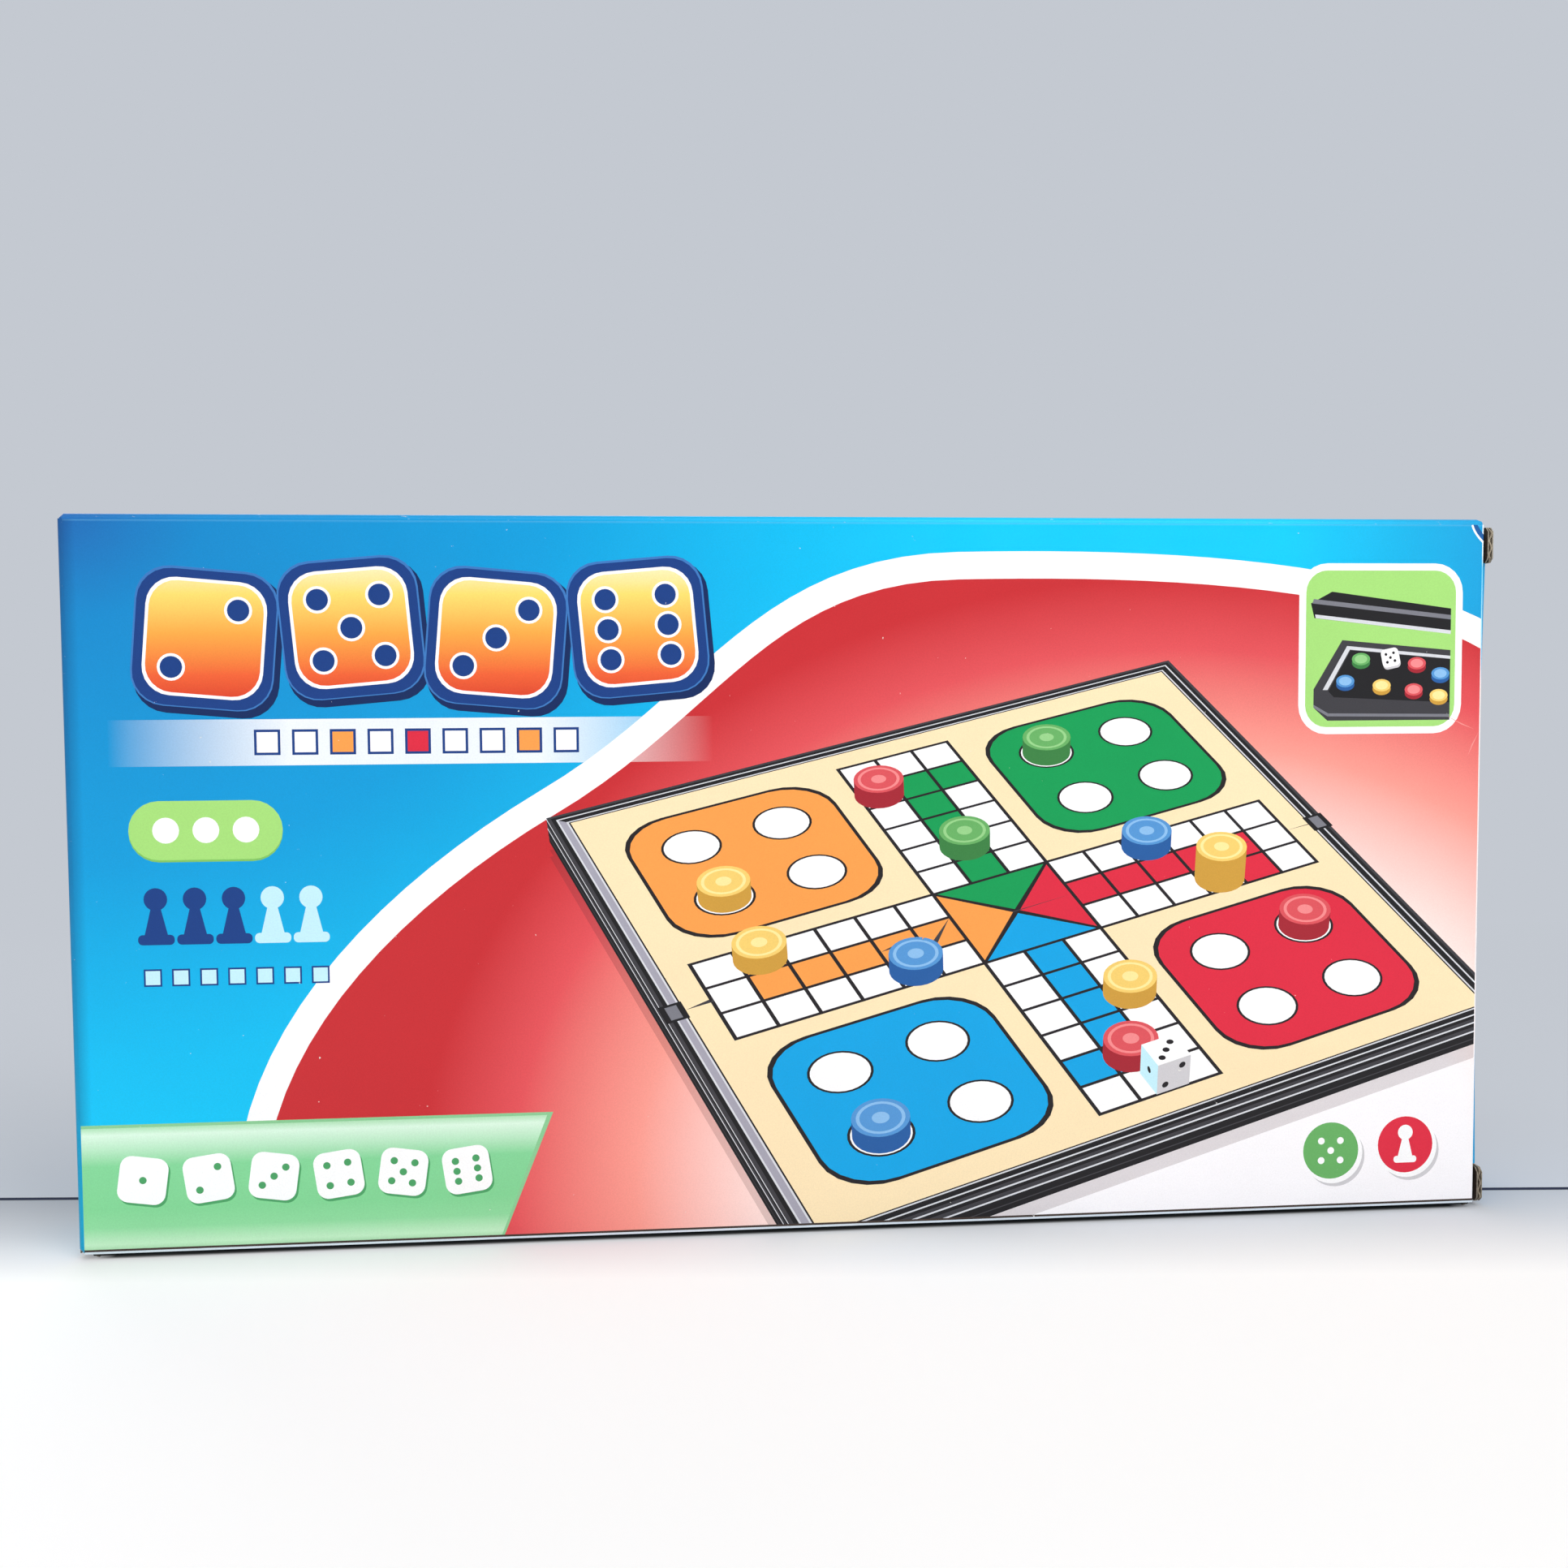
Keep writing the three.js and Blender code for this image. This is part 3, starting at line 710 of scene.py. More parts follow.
def pawn(x, z, height, ink):
    return [(rounded_box(x, z + 0.09 * height, 0.62 * height, 0.18 * height, 0.08 * height), ink),
            ([(x + across * height, z + up * height) for across, up in PAWN_BODY], ink),
            (disc(x, z + 0.8 * height, 0.2 * height, 24), ink)]


def cell_row(first, z, side, pitch, count, fills):
    made = []
    for i in range(count):
        x = first + i * pitch
        for half, ink in ((side / 2, "navy"), (side / 2 - side * 0.1, fills[i % len(fills)])):
            made.append((box_outline(x - half, z - half, x + half, z + half), ink))
    return made


def big_faces(first, faces):
    made = []
    for i, pips in enumerate(faces):
        lean = 1 if i % 2 else -1
        made += die_face(first + i * FACE_PITCH, FACE_HEIGHT + 1.2 * lean, FACE_SIZE,
                         FACE_TILT * lean, pips, FACE_LAYERS, "navy", "white")
    return made


print("shapes in a big die face with six pips:", len(big_faces(0, (6,))))

# %% [markdown]
# A ludo board is a cross of three rows of cells with a home square in the middle and a yard in
# each corner. The pattern is the same after each quarter turn, apart from its colour, so one
# quarter is drawn and turned. It is used three times: flat on the two board sheets of the game,
# flat on the back of the carton, and in perspective on the front.

# %% The ludo pattern
CELLS_TO_EDGE = 8.15
CELL_LINE = 0.045
YARD_AT, YARD_SIDE, YARD_ROUND = 4.75, 5.3, 1.25
PEG_AT, PEG_RIM, PEG_FACE = 1.15, 0.72, 0.66


def ludo_quarter(colour):
    edge = 1.5 + CELL_LINE
    made = [(box_outline(-edge, 1.5, edge, 7.5 + CELL_LINE), "ink_black")]
    for column in (-1, 0, 1):
        for row in range(2, 8):
            coloured = (column == 0 and row < 7) or (column == 1 and row == 6)
            cell = box_outline(column - 0.5 + CELL_LINE, row - 0.5 + CELL_LINE,
                               column + 0.5 - CELL_LINE, row + 0.5 - CELL_LINE)
            made.append((cell, colour if coloured else "white"))
    made += [([(0, 0), (edge, edge), (-edge, edge)], "ink_black"),
             ([(0, 0.09), (1.4, 1.5 - CELL_LINE), (-1.4, 1.5 - CELL_LINE)], colour)]
    for side, ink in ((YARD_SIDE, "ink_black"), (YARD_SIDE - 4 * CELL_LINE, colour)):
        made.append((rounded_box(YARD_AT, YARD_AT, side, side, YARD_ROUND), ink))
    for across in (-1, 1):
        for up in (-1, 1):
            spot = (YARD_AT + PEG_AT * across, YARD_AT + PEG_AT * up)
            made += [(disc(*spot, PEG_RIM, 28), "ink_black"), (disc(*spot, PEG_FACE, 28), "white")]
    return made


def ludo_pattern(half_side):
    cell = half_side / CELLS_TO_EDGE
    made = [(box_outline(-half_side, -half_side, half_side, half_side), "board_cream")]
    for quarter, colour in enumerate(COLOURS):
        for points, ink in ludo_quarter(colour):
            for _ in range(quarter):
                points = [(-v, u) for u, v in points]
            made.append(([(u * cell, v * cell) for u, v in points], ink))
    return made


print("shapes in the ludo pattern:", len(ludo_pattern(1.0)))

# %% [markdown]
# The picture on the front shows the opened board in perspective, as such cartons do. A plain
# formula turns a place on the board, and a height over it, into a place on the print: the board is
# turned, then tipped back, then made smaller with distance.

# %% The perspective of the board picture
BOARD_TURN, BOARD_RISE, BOARD_AWAY = math.radians(25), math.radians(36), 1100.0
BOARD_SCALE, BOARD_CENTRE = 0.55, (50.0, 76.0)
BOARD_HALF, SHEET_HALF, BOARD_THICK = 160.0, 151.5, 13.0
COUNTER_RADIUS, COUNTER_HEIGHT = 11.5, 8.5


def seen(u, v, up=0.0):
    across = u * math.cos(BOARD_TURN) - v * math.sin(BOARD_TURN)
    deep = u * math.sin(BOARD_TURN) + v * math.cos(BOARD_TURN)
    away = deep * math.cos(BOARD_RISE) - up * math.sin(BOARD_RISE)
    share = BOARD_SCALE * BOARD_AWAY / (BOARD_AWAY + away)
    rise = deep * math.sin(BOARD_RISE) + up * math.cos(BOARD_RISE)
    return BOARD_CENTRE[0] + across * share, BOARD_CENTRE[1] + rise * share


def on_board(points, up=0.0):
    return [seen(u, v, up) for u, v in points]


def square(half, up=0.0):
    return on_board(box_outline(-half, -half, half, half), up)


def front_walls(high, low):
    corner = BOARD_HALF
    left = [(-corner, corner), (-corner, -corner), (corner, -corner)]
    return on_board(left, high) + on_board(left[::-1], low)


def drawn_counter(u, v, colour, up=0.0):
    rim = disc(0, 0, COUNTER_RADIUS, 28)

    def ring(share, level):
        return on_board([(u + px * share, v + pz * share) for px, pz in rim], level)

    top = up + COUNTER_HEIGHT
    made = [(hull(ring(1.0, up) + ring(1.0, top)), colour + "_dark")]
    for share, tone in ((1.0, "_mid"), (0.84, "_light"), (0.72, "_mid"), (0.3, "_light")):
        made.append((ring(share, top), colour + tone))
    return made


def drawn_die(u, v, side):
    half = side / 2
    sides = (("white", 3, lambda a, b: seen(u + a, v + b, side)),
             ("soft_grey", 2, lambda a, b: seen(u + a, v - half, half + b)),
             ("pale_cyan", 1, lambda a, b: seen(u - half, v - a, half + b)))
    made = []
    for ink, pips, on_side in sides:
        made.append(([on_side(*p) for p in box_outline(-half, -half, half, half)], ink))
        for across, up in PIPS[pips]:
            ring = disc(across * side * 0.25, up * side * 0.25, side * 0.1, 12)
            made.append(([on_side(*p) for p in ring], "ink_black"))
    return made


print("board corners on the print:", [tuple(round(c) for c in p) for p in square(BOARD_HALF)])

# %% [markdown]
# The drawn case has a black wall with a few ribs, a flange with a light line round the sheet, and
# a fold across the middle. Counters stand on it as in the middle of a game.

# %% The board picture
RIBS = ((-0.2, -1.1, "case_light"), (-3.0, -5.2, "case_grey"), (-5.2, -6.1, "case_light"),
        (-9.6, -10.2, "case_grey"))
FLANGE = ((BOARD_HALF, "case_grey"), (158.4, "case_black"), (156.6, "case_light"),
          (155.8, "case_black"), (153.0, "case_light"), (152.2, "ink_black"))
LIT_SIDE = [(-155.8, 155.8), (-155.8, -155.8), (-153.0, -153.0), (-153.0, 153.0)]
KNUCKLES = ((5, 6, "case_black"), (2.5, 4.5, "case_line"))
COUNTERS = ((-1, 6, "red"), (3.6, 5.9, "green"), (0, 3, "green"), (-6, 1, "orange"),
            (-5.9, 3.6, "orange"), (4, 1, "blue"), (-5.9, -5.9, "blue"), (-3, -1, "blue"),
            (1, -4, "orange"), (5.9, -3.6, "red"), (0, -6, "red"), (5, -1, "orange"))


def board_picture():
    foot = square(BOARD_HALF, -BOARD_THICK)
    made = [(hull([(x, z - drop) for x, z in foot]), "front_shade") for drop in (3.4, 1.8)]
    made.append((hull(square(BOARD_HALF) + foot), "case_black"))
    made += [(front_walls(high, low), ink) for high, low, ink in RIBS]
    made += [(square(half), ink) for half, ink in FLANGE]
    made.append((on_board(LIT_SIDE), "case_sheen"))
    made += [(on_board(points), ink) for points, ink in ludo_pattern(SHEET_HALF)]
    made.append((on_board(box_outline(-BOARD_HALF, -0.5, BOARD_HALF, 0.5)), "case_grey"))
    for end in (-156, 156):
        made += [(on_board(box_outline(end - u, -v, end + u, v)), ink) for u, v, ink in KNUCKLES]
    cell = SHEET_HALF / CELLS_TO_EDGE
    for u, v, colour in COUNTERS:
        made += drawn_counter(u * cell, v * cell, colour)
    made += drawn_counter(5 * cell, -cell, "orange", COUNTER_HEIGHT)
    return made + drawn_die(0.3 * cell, -7.3 * cell + 4, 15.0)


print("shapes in the board picture:", len(board_picture()))

# %% [markdown]
# The inset shows where the counters are kept: a corner of the case, opened, with counters and a
# die lying in it. It is a small drawing inside a square with round corners and a white border. Its
# places are shares of half the square, so that the whole drawing can be moved or made larger.

# %% The inset
INSET_AT, INSET_SIDE, INSET_BORDER, INSET_ROUND = (139.5, 138.0), 41.0, 1.7, 7.0
INSET_CASE = (
    ([(-1, 0.62), (-0.95, 0.42), (1, 0.2), (1, 0.55), (-0.7, 0.78)], "case_black"),
    ([(-0.98, 0.62), (1, 0.4), (1, 0.46), (-0.96, 0.68)], "case_line"),
    ([(-0.93, 0.42), (1, 0.2), (1, 0.25), (-0.94, 0.47)], "case_light"),
    ([(-0.95, -0.55), (-0.55, 0.12), (1, -0.02), (1, -0.98), (-0.75, -0.98), (-0.95, -0.8)], "case_grey"),
    ([(-0.82, -0.56), (-0.48, 0.04), (1, -0.1), (1, -0.14), (-0.44, -0.01), (-0.75, -0.56)], "case_light"),
    ([(-0.74, -0.58), (-0.43, -0.02), (1, -0.15), (1, -0.74), (-0.66, -0.66)], "case_black"),
    ([(-0.95, -0.8), (-0.75, -0.92), (1, -0.94), (1, -0.9), (-0.74, -0.88), (-0.95, -0.76)], "case_line"))
INSET_COUNTERS = ((-0.28, -0.14, "green"), (0.52, -0.2, "red"), (0.86, -0.34, "blue"), (-0.5, -0.44, "blue"),
                  (0.02, -0.5, "orange"), (0.48, -0.56, "red"), (0.84, -0.64, "orange"))


def inset():
    (x, z), inner = INSET_AT, INSET_SIDE - 2 * INSET_BORDER
    edge = inner / 2 - 1.2
    parts = list(INSET_CASE)
    for px, pz, colour in INSET_COUNTERS:
        for level, share, tone in ((-0.05, 1.0, "_dark"), (0.0, 1.0, "_mid"), (0.0, 0.7, "_light")):
            ring = [(px + 0.13 * share * c, pz + level + 0.085 * share * s) for c, s in disc(0, 0, 1, 20)]
            parts.append((ring, colour + tone))
    made = [(rounded_box(x, z, INSET_SIDE, INSET_SIDE, INSET_ROUND), "white"),
            (rounded_box(x, z, inner, inner, INSET_ROUND - INSET_BORDER), "leaf")]
    made += [([(x + px * edge, z + pz * edge) for px, pz in points], ink) for points, ink in parts]
    return made + die_face(x + 0.14 * edge, z - 0.12 * edge, 4.4, 12, 5,
                           [((0.2, -0.5), 1.0, "soft_grey"), ((0, 0), 1.0, "white")], "ink_black")


print("shapes in the inset:", len(inset()))

# %% [markdown]
# Two round badges stand at the foot of the front. Each is a coloured disc over a white one that is
# shifted down, with a soft shadow, so that it looks like a stuck-on button. A plain label stands
# above, and a mint band with six small die faces lies along the foot.

# %% Badges, label and band
BADGE_LAYERS = ((1.2, -1.5, 1.06, "soft_grey"), (0.5, -0.6, 1.08, "white"))
SMALL_FACE = [((0.4, -0.6), 1.0, "mint_deep"), ((0, 0), 1.0, "white")]
SMALL_FIRST, SMALL_PITCH, SMALL_TILT = -153.0, 14.6, 8
MINT_LEFT, MINT_RIGHT, MINT_SLANT, MINT_RIM = -166.5, -60.0, 12.0, 0.8


def badge(x, z, colour, radius=7.0):
    return [(disc(x + right, z + down, radius * share), ink)
            for right, down, share, ink in (*BADGE_LAYERS, (0, 0, 1.0, colour))]


def label(x, z, width, height):
    made = [(rounded_box(x, z - drop, width, height, height / 2), ink)
            for drop, ink in ((0.5, "leaf_dark"), (0, "leaf"))]
    return made + [(disc(x + i * width * 0.26, z, height * 0.22, 24), "white") for i in (-1, 0, 1)]


def mint_band():
    foot_end, low = MINT_RIGHT - MINT_SLANT, FRONT_FOOT + MINT_RIM
    made = [([(MINT_LEFT, FRONT_FOOT), (foot_end, FRONT_FOOT), (MINT_RIGHT, MINT_HIGH),
              (MINT_LEFT, MINT_HIGH)], "mint_edge"),
            ([(MINT_LEFT, low), (foot_end - 0.3, low), (MINT_RIGHT - 1.4, MINT_HIGH - 0.7),
              (MINT_LEFT, MINT_HIGH - 0.7)], "mint")]
    for i in range(6):
        tilt = SMALL_TILT if i % 2 else -SMALL_TILT
        made += die_face(SMALL_FIRST + i * SMALL_PITCH, 18.0, 10.8, tilt, i + 1, SMALL_FACE, "mint_deep")
    return made


print("shapes in the band:", len(mint_band()))

# %% [markdown]
# The red field is bounded by one smooth line that climbs from the foot, turns over under the top
# edge and falls to the right. The white border is the strip between that line and the same line
# moved inwards.

# %% The red field
def curve(a, b, c, d, steps=20):
    made = []
    for i in range(steps):
        t = i / steps
        weights = (1 - t) ** 3, 3 * (1 - t) ** 2 * t, 3 * (1 - t) * t * t, t**3
        made.append(tuple(sum(w * p[k] for w, p in zip(weights, (a, b, c, d))) for k in (0, 1)))
    return made


def moved_inwards(line, distance):
    made = []
    for i, (x, z) in enumerate(line):
        (x0, z0), (x1, z1) = line[max(i - 1, 0)], line[min(i + 1, len(line) - 1)]
        run = math.hypot(x1 - x0, z1 - z0)
        made.append((x + (z1 - z0) / run * distance, z - (x1 - x0) / run * distance))
    return made


BORDER = 6.4
FIELD_LINE = curve((-130, -6), (-142, 40), (-106, 80), (-62, 106))
FIELD_LINE += curve((-62, 106), (-24, 128), (-12, 160), (36, 161))
FIELD_LINE += curve((36, 161), (84, 162), (144, 160), (174, 140)) + [(174, 140)]


def red_field():
    return [(moved_inwards(FIELD_LINE, distance) + [(174, -6)], ink)
            for distance, ink in ((0.0, "white"), (BORDER, "front_red"))]


print("points on the line:", len(FIELD_LINE))

# %% [markdown]
# Now the front is put together from the bottom up. Its right edge and its foot are cut, and show
# the paper as pale lines. The upper right corner of the real panel is dented: the print is cracked
# along a short fold, with a small dark triangle outside it, and two small scuffs lie below.

# %% The front panel
LABEL_AT, PAWNS_AT, CELLS_AT = (-137.0, 98.0), (-148.5, 72.0), (-149.5, 64.5)
GREEN_BADGE, RED_BADGE = (128.5, 15.5), (147.5, 16.4)
PAWN_PITCH, PAWN_INKS = 8.6, ("navy", "navy", "navy", "pale_cyan", "pale_cyan")
PAPER_LINE, FOOT_LINES = 0.28, ((1.0, "cut_brown"), (0.5, "paper_edge"))
DENT = curve((162.2, 168.3), (162.5, 166.6), (163.6, 165.0), (166.0, 162.9), 8)
DENT_OUTSIDE = [(166.0, 164.6), (164.9, 165.6), (163.1, 168.3)]
SCUFFS = ([(156.4, 121.7), (160.2, 119.9), (163.5, 118.4), (160.2, 119.6)],
          [(164.6, 117.7), (163.2, 114.6), (161.9, 111.9), (162.9, 114.7)])


def edges_and_wear():
    made = [(box_outline(PANEL_END - PAPER_LINE, -6, PANEL_END + 6, CARTON_TOP), "cut_edge")]
    for rise, ink in FOOT_LINES:
        made.append((box_outline(-FLAP_FACE, FRONT_FOOT - 1, PANEL_END + 1, FRONT_FOOT + rise), ink))
    made.append((DENT + DENT_OUTSIDE, "fold_blue"))
    made.append((moved_inwards(DENT, -0.08) + moved_inwards(DENT, 0.42)[:0:-1], "white"))
    return made + [(points, "scuff_pink") for points in SCUFFS]


def turned(sheet):
    """Swaps the two ways of a sheet: a panel is laid with the way across its flutes first."""
    return [([(z, x) for x, z in points], ink) for points, ink in sheet]


front = red_field() + board_picture() + inset() + big_faces(FACE_FIRST, (2, 5, 3, 6))
front += cell_row(-123.0, (BAND[0] + BAND[1]) / 2, 5.8, 8.4, 9, ("white", "white", "orange", "white", "red"))
front += label(*LABEL_AT, 34.0, 13.4)
for i, ink in enumerate(PAWN_INKS):
    front += pawn(PAWNS_AT[0] + i * PAWN_PITCH, PAWNS_AT[1], 13.0, ink)
front += cell_row(*CELLS_AT, 4.0, 6.2, 7, ("pale_cyan",)) + mint_band()
front += badge(*GREEN_BADGE, "green_mid") + die_face(*GREEN_BADGE, 11.0, 0, 5, [], "white")
front += badge(*RED_BADGE, "red") + pawn(RED_BADGE[0], RED_BADGE[1] - 4.5, 9.4, "white")
front += edges_and_wear()
board_piece("front_panel", "carton", plane("-y", -FACE, "z", "x"),
            box_outline(FRONT_FOOT, -FLAP_FACE + BOARD, CARTON_TOP - BOARD, PANEL_END),
            "front_blue", turned(front))
print("shapes on the front:", len(front))

# %% [markdown]
# The photograph doesn't show the other sides. They carry the same blue with a few of the same
# motifs, as the sides of such cartons do: the flat board and a row of big die faces on the back,
# and a path of cells along the top. The glue flap is bare and has tapered ends. The creases along
# the carton get a little smaller towards their ends, where the sheet was cut.

# %% The other panels
PATH = ("white", "green", "white", "orange", "white", "red")
BACK_BOARD, BACK_LEFT = (88, 84), -128.0
GLUE_TAPER = 4.3
TUBE_END = PANEL_END - BOARD

back = [(rounded_box(*BACK_BOARD, side, side, radius), ink)
        for side, radius, ink in ((148, 8, "white"), (145.6, 7, "case_black"))]
back += [(placed(points, *BACK_BOARD, 0), ink) for points, ink in ludo_pattern(69.5)]
back += big_faces(FACE_FIRST + 6, (6, 3, 5, 2)) + cell_row(BACK_LEFT, 112.0, 8.0, 11.0, 11, PATH)
for i, colour in enumerate(COLOURS):
    x = -124.0 + i * 30.0
    back += badge(x, 82.0, colour, 9.5) + pawn(x, 75.2, 13.6, "white")
for z, ink in ((48, "leaf"), (32, "pale_cyan"), (16, "leaf")):
    back.append((rounded_box(-79, z, 118, 11, 5.5), ink))
    back += cell_row(BACK_LEFT, z, 4.6, 8.2, 13, ("white",))
board_piece("back_panel", "carton", plane("+y", FACE, "z", "x"),
            box_outline(BOARD, -PANEL_END, CARTON_TOP - BOARD, FLAP_FACE - BOARD), "plain_blue", turned(back))
board_piece("top_panel", "carton", plane("+z", CARTON_TOP, "y", "x"),
            box_outline(-FACE + BOARD, -TUBE_END, FACE - BOARD, TUBE_END), "side_blue",
            turned(cell_row(-132.0, 0.0, 12.0, 15.5, 18, PATH)))
board_piece("bottom_panel", "carton", plane("-z", 0.0, "y", "x"),
            box_outline(glue_low.y + BOARD, -TUBE_END, FACE - BOARD, TUBE_END), "side_blue")
board_piece("glue_flap", "carton", plane("-y", glue_low.y, "z", "x"),
            [(BOARD, glue_low.x), (glue_high.z, glue_low.x + GLUE_TAPER),
             (glue_high.z, glue_high.x - GLUE_TAPER), (BOARD, glue_high.x)], "bare_board")
whole = [(-PANEL_END, 1.0), (PANEL_END, 1.0)]
past_left = [(-FLAP_FACE + 0.45, 0.45), (-FLAP_FACE + BOARD, 1.0), (PANEL_END - 1.2, 1.0), (PANEL_END, 0.7)]
past_right = [(-place, share) for place, share in past_left[::-1]]
fixed_crease("front_top_crease", (0, -FACE, CARTON_TOP), "-y", "+z", past_left, "crease_blue")
fixed_crease("back_top_crease", (0, FACE, CARTON_TOP), "+z", "+y", past_right, "crease_blue")
fixed_crease("back_foot_crease", (0, FACE, 0), "+y", "-z", past_right, "crease_blue")
# The foot crease is inked dark as painted shade of the shadowed fold under the front's foot.
fixed_crease("front_foot_crease", (0, glue_low.y, 0), "-z", "-y", whole, "foot_dark")
print("shapes on the back:", len(back))

# %% [markdown]
# One helper rounds the corners of an outline, each by its own radius. The tucked edge of a main
# flap bows inwards between its ears, so that little of it shows at the middle of the carton's
# height. A second helper puts more points along the edges, and a third moves each point by the
# bow, which grows from nothing at the crease.

# %% Round corners and the bow
BOW = 0.85
BOW_MIDDLE, BOW_HALF = (tongue_low.z + tongue_high.z) / 2, (tongue_high.z - tongue_low.z) / 2
ROUND_STEPS, FINE_STEP = 8, 8.0


def rounded(corners, radii):
    points = []
    for i, (corner, radius) in enumerate(zip(corners, radii)):
        here = Vector(corner)
        back_way = (Vector(corners[i - 1]) - here).normalized()
        onwards = (Vector(corners[(i + 1) % len(corners)]) - here).normalized()
        half = back_way.angle(onwards) / 2
        centre = here + (back_way + onwards).normalized() * radius / math.sin(half)
        first = here + back_way * radius / math.tan(half) - centre
        last = here + onwards * radius / math.tan(half) - centre
        start = math.atan2(first.y, first.x)
        sweep = (math.atan2(last.y, last.x) - start + math.pi) % (2 * math.pi) - math.pi
        for k in range(ROUND_STEPS + 1 if radius else 1):
            angle = start + sweep * k / ROUND_STEPS
            points.append((centre.x + radius * math.cos(angle), centre.y + radius * math.sin(angle)))
    return points


def finely(outline):
    points = []
    for (x0, y0), (x1, y1) in zip(outline, outline[1:] + outline[:1]):
        parts = max(1, round(math.hypot(x1 - x0, y1 - y0) / FINE_STEP))
        points += [(x0 + (x1 - x0) * i / parts, y0 + (y1 - y0) * i / parts) for i in range(parts)]
    return points


def bowed(turn):
    def bend(point):
        off_middle = (point.z / MM - BOW_MIDDLE) / BOW_HALF
        from_crease = (FACE - turn * point.y / MM) / (FACE - tongue_low.y)
        inwards = BOW * max(0.0, 1 - off_middle ** 2) * max(0.0, min(1.0, from_crease))
        return point - Vector((turn * inwards * MM, 0, 0))

    return bend


print("a rounded square:", len(rounded(box_outline(0, 0, 1, 1), (0.1,) * 4)), "points")

# %% [markdown]
# The two tuck ends are the same end, turned half a turn. Each has a main flap with two square
# ears and three die faces, a tongue with round corners, and two dust flaps with tapered sides. At
# the crease between flap and tongue the inner liner stops short of the fold, where a real one is
# crushed, so that the tongue can fold further in.

# %% The tuck ends
EAR_HEIGHT, EAR_CHAMFER, EAR_DROP = 8.5, 1.1, 0.7
CRUSH = 0.9
TONGUE_ROUND, DUST_ROUND, DUST_SHOULDER = 9.0, 3.0, 8.8
BACK_TAPER, FRONT_TAPER = math.tan(math.radians(30)), math.tan(math.radians(6))
END_FACE = [((0.6, -0.6), 1.0, "shadow_navy"), ((0, 0), 1.0, "white")]
STRIP_STEPS = 16


def flap_outline(tucked):
    low, high, nip = flap_low.z, flap_high.z, EAR_CHAMFER
    hinge_edge, ear_edge, ear_top = FACE - BOARD, flap_low.y, high - EAR_DROP
    lower_ear, upper_ear = low + EAR_HEIGHT, ear_top - EAR_HEIGHT
    return finely([(low, hinge_edge), (low, ear_edge + nip), (low + nip, ear_edge),
                   (lower_ear - nip, ear_edge), (lower_ear, ear_edge + nip), (lower_ear, tucked),
                   (upper_ear, tucked), (upper_ear, ear_edge + nip), (upper_ear + nip, ear_edge),
                   (ear_top - nip, ear_edge), (ear_top, ear_edge + nip), (high, hinge_edge)])


def tongue_outline(root):
    low, high, tip = tongue_low.z, tongue_high.z, tongue_low.x
    return finely(rounded([(low, root), (low, tip), (high, tip), (high, root)],
                          (0, TONGUE_ROUND, TONGUE_ROUND, 0)))


def bowed_piece(node, flat, turn, outline, motif, inside):
    bend = bowed(turn)

    def place(u, v, depth=0.0):
        return bend(flat(u, v, depth))

    board_piece(node, node, place, outline, "plain_blue", motif, inside)


def dust_flap(side, level, turn):
    box_low, box_high = box_mm(f"right_{level}_dust_flap")
    crease, up = (CARTON_TOP, -1) if level == "top" else (0.0, 1)
    reach = box_high.z - box_low.z
    shoulder_y = tongue_high.y + 1.0
    front_tip = shoulder_y + (reach - DUST_SHOULDER) * FRONT_TAPER
    corners = [(box_low.y, BOARD), (box_high.y - BOARD * BACK_TAPER, BOARD),
               (box_high.y - reach * BACK_TAPER, reach), (front_tip, reach),
               (shoulder_y, DUST_SHOULDER), (box_low.y, DUST_SHOULDER)]
    outline = rounded(corners, (0, 0, DUST_ROUND, DUST_ROUND, 0, 0))
    name = f"{side}_{level}_dust_flap"
    board_piece(name, name, plane("+x", PANEL_END, "y", "z", turn),
                [(y, crease + up * length) for y, length in outline], "side_blue")


def end_creases(side, turn):
    middle, half = (flap_low.z + flap_high.z) / 2, (flap_high.z - flap_low.z) / 2
    tapered = [(-half, 0.35), (1.2 - half, 1.0), (half, 1.0)]
    strip = [(BOW_HALF * (2 * i / STRIP_STEPS - 1), 1.0) for i in range(STRIP_STEPS + 1)]
    dust_width = box_mm("right_top_dust_flap")[1].y
    ends = [(-dust_width, 1.0), (dust_width, 1.0)]
    moving_crease(f"{side}_main_crease", (FLAP_FACE, FACE, middle),
                  "+y", "+x", "z", tapered, "end_fold", turn)
    moving_crease(f"{side}_tongue_crease_strip", (FLAP_FACE, tongue_low.y, BOW_MIDDLE),
                  "+x", "-y", "z", strip, "crease_blue", turn, bowed(turn))
    for level, height, word in (("top", CARTON_TOP, "+z"), ("bottom", 0.0, "-z")):
        moving_crease(f"{side}_{level}_dust_crease",
                      (PANEL_END, 0, height), word, "+x", "y", ends, "crease_blue", turn)


for side, turn in (("right", 1), ("left", -1)):
    motif = []
    for z, pips, colour in ((132, 4, "green"), (84.5, 6, "orange"), (37, 3, "red")):
        motif += die_face(z, 1.2, 17.0, 8, pips, END_FACE, colour)
    tucked, root = tongue_low.y + BOARD, FLAP_FACE - BOARD
    bowed_piece(f"{side}_main_flap", plane("+x", FLAP_FACE, "z", "y", turn), turn,
                flap_outline(tucked), motif, flap_outline(tucked + CRUSH))
    bowed_piece(f"{side}_tongue", plane("-y", tongue_low.y, "z", "x", turn), turn,
                tongue_outline(root), (), tongue_outline(root - CRUSH))
    for level in ("top", "bottom"):
        dust_flap(side, level, turn)
    end_creases(side, turn)

# %% [markdown]
# Inside the carton lies the game. The case is black moulded plastic with a fine satin texture and
# a few pale scuffs, the hinge pins are drawn steel wire, and the counters are glossy. These
# solids keep their shapes and get these finishes.

